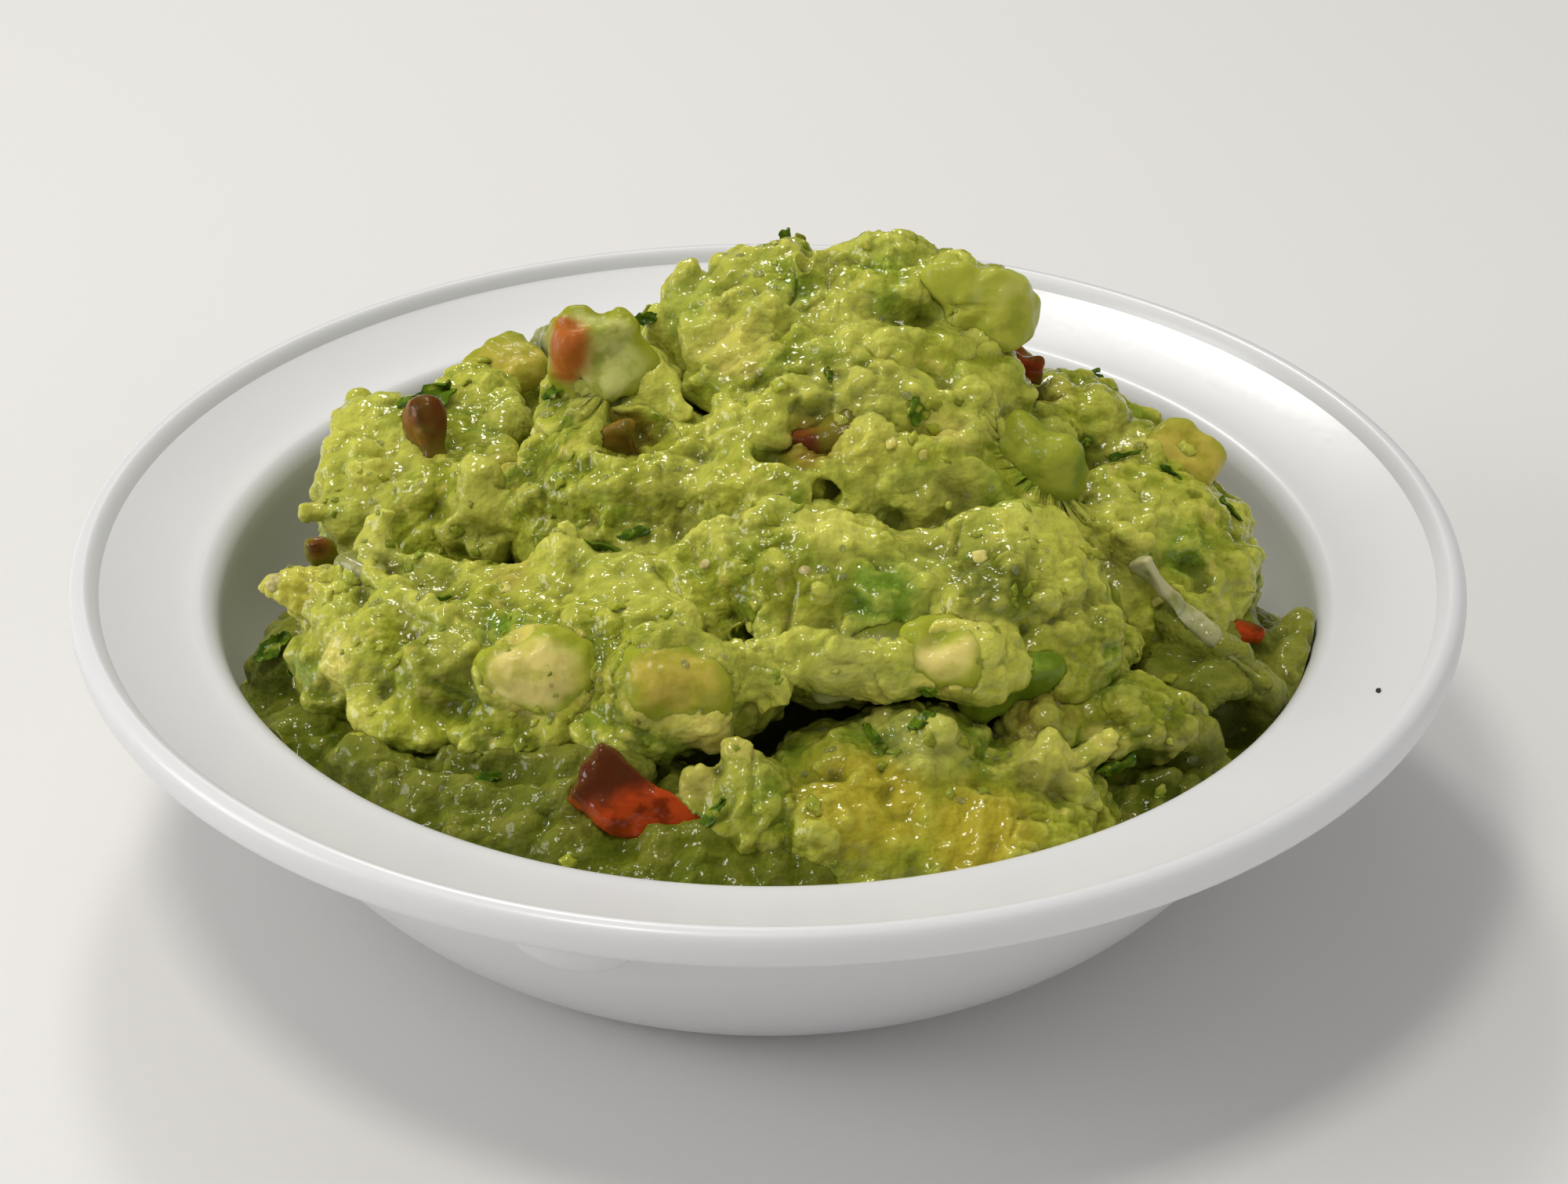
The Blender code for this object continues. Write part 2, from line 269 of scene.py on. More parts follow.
def grain_bumps(points: np.ndarray, size: float, seed: int) -> np.ndarray:
    """Round grains of mixed size and height that stand out of a flat paste.

    Args:
        points: rows of places.
        size: how far apart the grains are, in the points' unit.
        seed: a number that picks the pattern.

    Returns:
        A height from 0 to 1 per row.
    """
    near = np.floor(points / size - 0.5).astype(np.int64)
    height = np.zeros(len(points))
    for corner in range(8):
        cell = near + np.array([corner & 1, corner >> 1 & 1, corner >> 2 & 1])
        jitter = np.stack([scatter_hash(cell, seed + axis) for axis in range(3)], axis=1)
        away = np.linalg.norm(points / size - (cell + 0.25 + 0.5 * jitter), axis=1)
        mixed = scatter_hash(cell, seed + 3)
        dome = np.clip(1.0 - (away / (0.42 + 0.32 * mixed)) ** 2, 0.0, 1.0)
        height = np.maximum(height, np.sqrt(dome) * (0.35 + 0.65 * mixed))
    return height


def add_node(
    tree: bpy.types.NodeTree,
    kind: str,
    settings: dict[str, object] | None = None,
    inputs: dict[str | int, object] | None = None,
) -> bpy.types.Node:
    """Add one node with its settings, and link or set its inputs.

    Args:
        tree: the material's node tree.
        kind: the node's type name.
        settings: properties of the node itself.
        inputs: a value, or the output socket that feeds it, for each named input.

    Returns:
        The new node.
    """
    node = tree.nodes.new(kind)
    for key, value in (settings or {}).items():
        setattr(node, key, value)
    for key, value in (inputs or {}).items():
        if isinstance(value, bpy.types.NodeSocket):
            tree.links.new(value, node.inputs[key])
        else:
            node.inputs[key].default_value = value
    return node


# ---------------------------------------------------------------- materials


class Painter:
    """One material in the making: its tree, its shader, and the patterns that feed them."""

    def __init__(self, name: str) -> None:
        """Start a material of that name."""
        self.material = bpy.data.materials.new(name)
        self.material.use_nodes = True
        self.tree = self.material.node_tree
        self.shader = self.tree.nodes["Principled BSDF"]
        self.place = add_node(self.tree, "ShaderNodeTexCoord").outputs["Object"]

    def attribute(self, label: str) -> bpy.types.NodeSocket:
        """The mesh's own number of that name."""
        return add_node(self.tree, "ShaderNodeAttribute", {"attribute_name": label}).outputs["Fac"]

    def noise(self, size: float, detail: float = 2.0) -> bpy.types.NodeSocket:
        """Noise of a size in mm."""
        inputs = {"Vector": self.place, "Scale": per_size(size), "Detail": detail}
        return add_node(self.tree, "ShaderNodeTexNoise", inputs=inputs).outputs["Fac"]

    def mixed(self, factor: object, first: object, second: object) -> bpy.types.NodeSocket:
        """Two colours mixed: each a socket, or an sRGB hex colour."""
        colours = [linear(colour) if isinstance(colour, str) else colour for colour in (first, second)]
        inputs = {"Factor": factor, "A": colours[0], "B": colours[1]}
        return add_node(self.tree, "ShaderNodeMix", {"data_type": "RGBA"}, inputs).outputs["Result"]

    def ranged(
        self, value: object, low: float, high: float, bottom: float = 0.0, top: float = 1.0
    ) -> bpy.types.NodeSocket:
        """A value moved smoothly from low..high to bottom..top."""
        inputs = {"Value": value, "From Min": low, "From Max": high, "To Min": bottom, "To Max": top}
        settings = {"interpolation_type": "SMOOTHSTEP"}
        return add_node(self.tree, "ShaderNodeMapRange", settings, inputs).outputs["Result"]

    def layered(self, colour: object, layers: tuple[tuple, ...]) -> bpy.types.NodeSocket:
        """A colour with others laid over it in order.

        Args:
            colour: the colour underneath, a socket.
            layers: for each, the value that says where it is, the ends of that value's range from
                none to all of it, how strong all of it is, and its sRGB colour.

        Returns:
            The colour's socket.
        """
        for value, low, high, share, tint in layers:
            colour = self.mixed(self.ranged(value, low, high, top=share), colour, tint)
        return colour

    def weighted(self, first: object, share: float, second: object) -> bpy.types.NodeSocket:
        """The first value times a share, plus the second."""
        inputs = {0: first, 1: share, 2: second}
        return add_node(self.tree, "ShaderNodeMath", {"operation": "MULTIPLY_ADD"}, inputs).outputs["Value"]

    def bump(self, height: object, strength: float, depth: float) -> bpy.types.NodeSocket:
        """The surface's direction where a height of so many mm tilts it."""
        inputs = {"Height": height, "Strength": strength, "Distance": depth * MM}
        return add_node(self.tree, "ShaderNodeBump", inputs=inputs).outputs["Normal"]

    def feed(self, name: str, source: bpy.types.NodeSocket) -> None:
        """Link a pattern to one of the shader's sockets."""
        self.tree.links.new(source, self.shader.inputs[name])

    def fix(self, values: dict[str, object]) -> None:
        """Set what is the same all over the surface on the shader's own sockets."""
        for name, value in values.items():
            self.shader.inputs[name].default_value = value

    def wet(
        self,
        colour: object,
        rough: object,
        height: object,
        strength: float,
        depth: float,
        film: float = 1.6,
    ) -> None:
        """Link the colour, the gloss and the fine relief, and set the wet film over it.

        The film is smoother than what it wets, so that its glints are as large as real ones.

        Args:
            colour: the base colour's socket.
            rough: the roughness under the film.
            height: the fine relief's socket.
            strength: how strong the relief is.
            depth: how high the relief is, in mm.
            film: how far apart the film's own ripples are, in mm.
        """
        self.feed("Base Color", colour)
        self.feed("Roughness", rough)
        self.feed("Normal", self.bump(height, strength, depth))
        self.feed("Coat Normal", self.bump(self.noise(film, 2.0), 0.8, 0.4))
        self.fix({"Specular IOR Level": 0.05, "Coat Weight": 1.0, "Coat IOR": 1.36})


# ---------------------------------------------------------------- the bowl


@dataclass(frozen=True)
class MelamineFinish:
    """White melamine, moulded in polished steel: an even, faintly blue white with a soft gloss.

    mottle, scuff and ripple are the sizes of those patterns in mm.
    """

    white: str = "#DADADB"
    shade: str = "#D6D6D8"
    mottle: float = 24.0
    scuff: float = 1.1
    ripple: float = 9.0
    roughness: float = 0.34

    def build(self) -> bpy.types.Material:
        """The material: a faint mottle, moulding ripple and fine scuffs in the gloss."""
        paint = Painter("white_moulded_melamine")
        scuffs = {
            "Value": paint.noise(self.scuff, 4.0),
            "From Min": 0.3,
            "From Max": 0.75,
            "To Min": self.roughness - 0.03,
            "To Max": self.roughness + 0.07,
        }
        gloss = add_node(paint.tree, "ShaderNodeMapRange", inputs=scuffs).outputs["Result"]
        paint.feed("Base Color", paint.mixed(paint.noise(self.mottle, 3.0), self.white, self.shade))
        paint.feed("Roughness", gloss)
        paint.feed("Normal", paint.bump(paint.noise(self.ripple, 1.0), 0.05, 0.05))
        paint.fix({"IOR": 1.5, "Coat Weight": 0.15, "Coat Roughness": 0.12, "Subsurface Weight": 0.08})
        paint.fix({"Subsurface Radius": (0.0012, 0.0012, 0.0012), "Subsurface Scale": 1.0})
        return paint.material


@dataclass(frozen=True)
class Bowl:
    """The melamine bowl: a turned wall with a wide dished rim, a raised lip and a foot ring.

    Sizes are in mm and lug_azimuth, where the small lug under the rim is, in degrees from +X.
    """

    rim_radius: float = 82.0
    height: float = 38.5
    well_radius: float = 66.0
    well_edge: float = 33.5
    wall: float = 2.9
    floor_top: float = 4.4
    floor_flat: float = 46.0
    foot_outer: float = 48.5
    foot_width: float = 7.0
    foot_recess: float = 1.0
    lip_width: float = 3.4
    lip_face_top: float = 36.9
    lip_face_bottom: float = 35.6
    rim_rise_power: float = 1.35
    steps: int = 192
    lug_azimuth: float = -107.2
    lug_radius: float = 68.6
    lug_height: float = 27.0
    lug_half: Triple = (7.2, 3.0, 4.6)

    @staticmethod
    def curve(points: list[Pair], steps: int) -> list[Vector]:
        """Points of a Bezier curve through its two ends, without its start.

        Args:
            points: the start, the points that bend the curve, and the end.
            steps: how many points to make.

        Returns:
            The points as (radius, height) vectors.
        """
        made = []
        degree = len(points) - 1
        for i in range(1, steps + 1):
            t = i / steps
            total = Vector((0.0, 0.0))
            for k, point in enumerate(points):
                total += Vector(point) * (math.comb(degree, k) * t**k * (1.0 - t) ** (degree - k))
            made.append(total)
        return made

    def well_line(self, steps: int = 22) -> list[Vector]:
        """The inner surface from the edge of the flat floor to just below the edge of the well."""
        start = (self.floor_flat, self.floor_top)
        end = (self.well_radius - 0.8, self.well_edge - 2.0)
        bends = [(start[0] + 10.0, start[1] + 0.8), (end[0] - 1.8, end[1] - 13.0)]
        return [Vector(start)] + self.curve([start, *bends, end], steps)

    def profile(self) -> list[Vector]:
        """The half section from the floor's centre over the rim and down to the foot's recess."""
        points = [Vector((0.0, self.floor_top)), Vector((self.floor_flat * 0.5, self.floor_top))]
        points += self.well_line()
        rim_start = (self.well_radius + 1.4, self.well_edge + 0.3)
        rim_end = (self.rim_radius - self.lip_width, self.height - 1.7)
        points += self.curve(
            [(points[-1].x, points[-1].y), (self.well_radius - 0.2, self.well_edge), rim_start], 7
        )
        for i in range(1, 13):
            t = i / 12
            rise = (rim_end[1] - rim_start[1]) * t**self.rim_rise_power
            points.append(Vector((rim_start[0] + (rim_end[0] - rim_start[0]) * t, rim_start[1] + rise)))
        crest = (self.rim_radius - 1.7, self.height)
        lip_top = (self.rim_radius, self.lip_face_top)
        lip_bottom = (self.rim_radius, self.lip_face_bottom)
        under_lip = (self.rim_radius - 1.5, self.lip_face_bottom - 1.3)
        outer_top = (self.well_radius - 0.8 + self.wall, self.well_edge - 2.2)
        under_rim = (outer_top[0] + 2.0, self.well_edge - 1.8)
        foot = (self.foot_outer + 0.5, 0.6)
        points += self.curve([rim_end, (crest[0] - 0.9, crest[1] - 0.1), crest], 6)
        points += self.curve([crest, (self.rim_radius - 0.1, self.height - 0.1), lip_top], 7)
        points += [Vector(lip_bottom)]
        points += self.curve([lip_bottom, (self.rim_radius, under_lip[1]), under_lip], 5)
        points += self.curve([under_lip, under_rim], 3)
        points += self.curve([under_rim, (outer_top[0] + 0.1, under_rim[1] - 0.3), outer_top], 5)
        bends = [(outer_top[0] - 1.5, outer_top[1] - 13.3), (foot[0] + 8.0, foot[1] + 4.4)]
        points += self.curve([outer_top, *bends, foot], 22)
        points += self.curve([foot, (self.foot_outer + 0.1, 0.05), (self.foot_outer - 0.6, 0.0)], 3)
        inner_foot = self.foot_outer - self.foot_width
        points += [Vector((inner_foot, 0.0))]
        points += self.curve(
            [(inner_foot, 0.0), (inner_foot - 0.5, 0.0), (inner_foot - 0.9, self.foot_recess)], 3
        )
        points += [Vector((0.0, self.foot_recess))]
        return points

    def build(self, finish: MelamineFinish) -> bpy.types.Object:
        """Extrude the half section, spin it, and join the small moulded lug under the rim.

        Args:
            finish: the bowl's finish.

        Returns:
            The bowl.
        """
        object_mode()
        bpy.ops.mesh.primitive_plane_add(size=MM)
        bowl = bpy.context.object
        bowl.name = "melamine_bowl"
        line = [Vector((point.x, 0.0, point.y)) * MM for point in self.profile()]
        bpy.ops.object.mode_set(mode="EDIT")
        bpy.ops.mesh.select_all(action="SELECT")
        bpy.ops.mesh.merge(type="CENTER")
        bpy.ops.transform.translate(value=line[0])
        for before, after in zip(line, line[1:]):
            bpy.ops.mesh.extrude_region_move(TRANSFORM_OT_translate={"value": after - before})
        bpy.ops.mesh.select_all(action="SELECT")
        bpy.ops.mesh.spin(steps=self.steps, angle=2.0 * math.pi, center=(0, 0, 0), axis=(0, 0, 1))
        bpy.ops.mesh.select_all(action="SELECT")
        bpy.ops.mesh.remove_doubles(threshold=0.01 * MM)
        bpy.ops.mesh.normals_make_consistent(inside=False)
        object_mode()

        angle = math.radians(self.lug_azimuth)
        place = Vector((math.cos(angle), math.sin(angle), 0.0)) * self.lug_radius * MM
        place.z = self.lug_height * MM
        bpy.ops.mesh.primitive_ico_sphere_add(
            subdivisions=5,
            radius=1.0,
            location=place,
            rotation=(0.0, 0.0, angle + math.pi / 2),
            scale=metres(self.lug_half),
        )
        lug = bpy.context.object
        modify(bowl, "BOOLEAN", operation="UNION", object=lug, solver="EXACT")
        bpy.data.objects.remove(lug)
        shade(bowl, 38.0)
        give_material(bowl, finish.build())
        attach(bowl, ROOT)
        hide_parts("bowl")
        return bowl


# ---------------------------------------------------------------- mash


class Tint(Enum):
    """How a patch of mash differs from the rest: what it holds more of, or painted shade or painted light
    laid on it.
    """

    PALE = "pale"
    YELLOW = "yellow"
    GREEN = "green"
    BROWN = "brown"
    CLEAR = "clear"
    # Painted shade, where the heap shades itself.
    SHADED = "shaded"
    # Painted light on a few peaks and crests.
    PAINTED_LIGHT = "painted_light"


@dataclass(frozen=True)
class Lump:
    """A rounded lump of mash: centre and half sizes in mm, turn in degrees."""

    centre: Triple
    half: Triple
    turn: float | Triple = 0.0

    def matrix(self) -> Matrix:
        """Where a ball of radius 1 goes to be this lump."""
        angles = self.turn if isinstance(self.turn, tuple) else (0.0, 0.0, self.turn)
        return Matrix.LocRotScale(metres(self.centre), turned(angles), metres(self.half))


@dataclass(frozen=True)
class Ridge:
    """A drawn-out ridge, horn or thread of mash: its points in mm, each with a radius."""

    points: tuple[Quad, ...]

    def matrices(self) -> list[Matrix]:
        """A close row of balls along the ridge."""
        row = []
        for start, end in zip(self.points, self.points[1:]):
            start_point = Vector(start)
            end_point = Vector(end)
            length = (end_point.to_3d() - start_point.to_3d()).length
            count = max(2, math.ceil(length / (0.35 * (start[3] + end[3]) / 2.0)))
            for i in range(count + 1):
                at = start_point.lerp(end_point, i / count)
                row.append(Matrix.LocRotScale(at.to_3d() * MM, None, Vector((at[3],) * 3) * MM))
        return row


# Where the mash holds more of a tint, or where painted shade or painted light lies on it: centre and radius
# in mm, and how strong it is.
SPOTS = {
    Tint.PALE: (
        (-24.6, -38.5, 41.5, 7.0, 1.0), (-10.0, -43.5, 43.0, 6.5, 0.7), (19.5, -38.0, 44.0, 5.5, 0.8),
        (-6.3, -46.0, 38.5, 3.5, 1.0), (30.0, -45.0, 34.0, 5.0, 0.5), (36.5, -42.0, 35.0, 3.0, 0.7),
        (36.0, -29.0, 40.0, 4.5, 0.7), (-46.5, -31.0, 38.0, 4.0, 1.0), (-44.0, -36.0, 35.0, 3.5, 0.8),
        (6.5, -25.0, 49.5, 3.5, 0.9), (-7.6, -51.0, 36.5, 2.6, 1.0), (-3.7, -49.0, 38.6, 2.8, 1.0),
        (11.0, -42.0, 39.5, 4.0, 0.5), (-4.0, 1.0, 61.0, 5.5, 0.5), (20.0, -10.0, 54.0, 4.5, 0.6),
    ),
    Tint.CLEAR: (
        (-20.0, 3.0, 57.0, 7.5, 0.6), (-46.0, -17.0, 42.5, 4.5, 1.0), (23.1, -32.0, 46.0, 5.0, 1.0),
        (8.0, -40.0, 43.0, 5.0, 0.7), (16.0, -46.0, 38.5, 5.5, 0.8),
    ),
    Tint.YELLOW: (
        (-55.0, -20.0, 41.5, 7.0, 1.0), (10.0, -53.0, 35.0, 10.0, 0.9), (22.0, -55.0, 31.0, 9.0, 1.0),
        (10.6, -13.0, 56.0, 4.5, 0.5), (18.8, -43.0, 42.5, 3.0, 1.0), (51.0, -12.0, 36.0, 4.5, 0.7),
        (24.0, -37.0, 44.5, 3.5, 0.6),
    ),
    Tint.GREEN: (
        (12.8, -32.5, 47.4, 6.5, 1.0), (-29.8, -32.0, 42.0, 3.5, 1.0), (-51.0, -22.0, 40.0, 3.5, 1.0),
        (-8.0, -44.0, 36.5, 6.0, 0.9), (14.0, 15.0, 66.0, 7.0, 0.6), (28.0, -19.0, 51.5, 4.0, 0.8),
        (12.0, -43.0, 37.5, 6.0, 0.7), (-10.0, 9.0, 63.0, 5.0, 0.7), (2.0, 9.0, 64.5, 3.5, 0.8),
        (-1.0, -53.0, 33.0, 6.0, 0.7), (0.0, -37.0, 42.0, 5.0, 0.6), (-16.0, -20.0, 43.5, 5.0, 0.5),
        (38.0, -35.0, 37.0, 4.0, 0.5), (47.0, -13.0, 42.0, 5.0, 0.7),
    ),
    Tint.BROWN: (
        (-28.0, -21.5, 41.5, 5.0, 0.8), (6.0, -11.0, 54.0, 6.0, 0.8), (-16.0, -3.0, 51.0, 5.0, 0.7),
        (-31.0, 1.0, 45.5, 4.0, 0.6), (-20.0, -55.0, 33.5, 3.5, 0.6), (29.0, -40.0, 35.5, 5.0, 0.7),
        (33.0, 8.0, 51.0, 4.5, 0.5),
    ),
    # Painted shade where the heap shades itself.
    Tint.SHADED: (
        (10.6, -7.7, 60.9, 7.5, 0.7), (25.6, -30.8, 50.6, 7.5, 0.7), (33.4, -32.0, 45.4, 5.5, 0.5),
        (29.3, -47.5, 34.0, 4.0, 0.6), (44.3, -41.4, 31.0, 7.0, 1.0), (-35.7, -36.9, 42.3, 6.0, 0.4),
        (-13.0, -17.6, 51.4, 6.0, 0.5), (-35.0, -9.0, 44.0, 6.0, 0.35), (20.0, -17.0, 48.5, 6.5, 0.7),
        (-26.0, -9.5, 49.0, 5.0, 0.5), (0.0, -34.0, 47.0, 5.5, 0.15), (38.0, -19.0, 44.0, 5.0, 0.7),
    ),
    # Painted light on peaks and crests.
    Tint.PAINTED_LIGHT: (
        (-44.9, 3.7, 45.6, 6.5, 0.55), (7.0, -26.5, 53.5, 6.0, 0.9), (-22.4, -19.0, 47.4, 4.0, 0.6),
        (-44.0, -14.0, 46.0, 3.6, 0.6), (28.0, -21.5, 51.5, 4.5, 0.6), (42.7, 2.0, 48.6, 5.5, 0.5),
        (8.0, 2.0, 63.0, 6.0, 0.4),
    ),
}


@dataclass(frozen=True)
class MashFinish:
    """Wet avocado mash, forked by hand: pulp that light soaks into, under a film of lime juice.

    The fork leaves it uneven, from fresh green through yellow green to pale flesh. Painted shade
    darkens its hollows, the spoonfuls that lie low and a few patches where the heap shades itself,
    and painted light brightens its crests, ridges and a few peaks. The film gives small sharp
    glints on the grains. pulp_depth is how far light soaks in, in mm, and soak the share of that
    for red, green and blue.
    """

    # The brightest colour serves both pale flecks and painted light, the deep colour both dark flecks and
    # painted shade, and the hollow colour only painted shade in the hollows.
    bright_and_painted_light: str = "#CAC85C"
    light: str = "#9A9F2E"
    middle: str = "#788222"
    deep_and_painted_shade: str = "#474F0C"
    hollow: str = "#3A4004"
    pale: str = "#DAC86A"
    yellow: str = "#AA9C2C"
    green: str = "#678422"
    brown: str = "#7C601E"
    clear: str = "#8E924A"
    film_roughness: float = 0.09
    pulp_depth: float = 1.3
    soak: Triple = (1.0, 0.9, 0.22)

    def build(self) -> bpy.types.Material:
        """The material: patches and flecks, the tints that the mesh holds, and painted light and shade."""
        paint = Painter("forked_avocado_mash")
        patches = paint.noise(9.0, 3.0)
        flecks = paint.noise(2.4, 3.0)
        grains = paint.noise(0.9, 1.0)
        hump = paint.attribute("hump")
        low_shade = paint.attribute("low_shade")
        colour = paint.mixed(paint.ranged(patches, 0.35, 0.65), self.middle, self.light)
        stirred = (
            (flecks, 0.54, 0.76, 0.45, self.bright_and_painted_light),
            (flecks, 0.47, 0.3, 0.5, self.deep_and_painted_shade),
            (paint.noise(5.0), 0.53, 0.68, 0.55, self.green),
            (paint.noise(3.1), 0.6, 0.72, 0.4, self.pale),
            (paint.noise(1.7), 0.66, 0.76, 0.4, self.brown),
        )
        # SHADED among the tints lays painted shade, and the last of them painted light.
        tints = (
            (Tint.GREEN, self.green),
            (Tint.YELLOW, self.yellow),
            (Tint.PALE, self.pale),
            (Tint.BROWN, self.brown),
            (Tint.CLEAR, self.clear),
            (Tint.SHADED, self.deep_and_painted_shade),
            (Tint.PAINTED_LIGHT, self.bright_and_painted_light),
        )
        # Painted light on crests, humps and ridges, painted shade in the hollows, and painted shade on the
        # spoonfuls that lie low.
        heights = (
            (paint.attribute("crest"), 0.5, 1.0, 0.25, self.bright_and_painted_light),
            (hump, 0.5, 0.95, 0.34, self.bright_and_painted_light),
            (paint.attribute("ridge"), 0.0, 1.0, 0.4, self.bright_and_painted_light),
            (hump, 0.48, 0.1, 0.7, self.hollow),
            (low_shade, 0.0, 1.3, 0.8, self.deep_and_painted_shade),
        )
        colour = paint.layered(colour, stirred)
        for tint, other in tints:
            colour = paint.mixed(paint.attribute(tint.value), colour, other)
        colour = paint.layered(colour, heights)
        rough = paint.ranged(paint.noise(4.0), 0.35, 0.7, 0.35, 0.6)
        curds = paint.weighted(paint.noise(1.9, 1.0), 0.8, grains)
        height = paint.weighted(paint.noise(0.5, 1.0), 0.4, curds)
        paint.wet(colour, rough, height, 0.85, 0.42)
        paint.feed("Coat Weight", paint.ranged(low_shade, 0.4, 1.1, 1.0, 0.6))
        paint.fix({"IOR": 1.4, "Coat Roughness": self.film_roughness, "Subsurface Weight": 0.5})
        paint.fix({"Subsurface Radius": self.soak, "Subsurface Scale": self.pulp_depth * MM})
        return paint.material


@dataclass(frozen=True)
class Well:
    """The space inside the bowl that mash can fill."""

    bowl: Bowl
    clearance: float = 0.15

    def trim(self, points: np.ndarray) -> np.ndarray:
        """Bring points that would go through the bowl back to its inner surface.

        Args:
            points: rows in metres.

        Returns:
            The rows, moved.
        """
        line = self.bowl.well_line()
        heights = np.array([point.y for point in line]) * MM
        radii = (np.array([point.x for point in line]) - self.clearance) * MM
        moved = points.copy()
        moved[:, 2] = np.maximum(moved[:, 2], (self.bowl.floor_top + self.clearance) * MM)
        limit = np.interp(moved[:, 2], heights, radii)
        radius = np.hypot(moved[:, 0], moved[:, 1])
        shrink = np.where(radius > limit, limit / np.maximum(radius, 1e-6), 1.0)
        moved[:, 0] *= shrink
        moved[:, 1] *= shrink
        return moved


# The patterns in the mash's relief: each one's size in mm and the seed that picks it. FOLDS has the
# first of three seeds, one for each axis.
FOLDS = (5.0, 60)
TEARS = (8.0, 13)
CREASES = (4.6, 83)
SWELLS = (5.6, 77)
CLOTS = (2.9, 71)
CURDS = (1.7, 91)
SMALL_CURDS = (1.0, 93)
GRAIN_PATCHES = (6.5, 17)
GRAINS = (1.35, 31)
FINE_GRAINS = (0.8, 43)

# After so many rounds of evening out the surface: what a point's height above it is called, and
# the height in mm at which it is full.
# The mash's material paints light on what stands out and shade in the hollows from these.
HEIGHT_MARKS = {8: ("crest", 0.3), 70: ("hump", 1.3)}


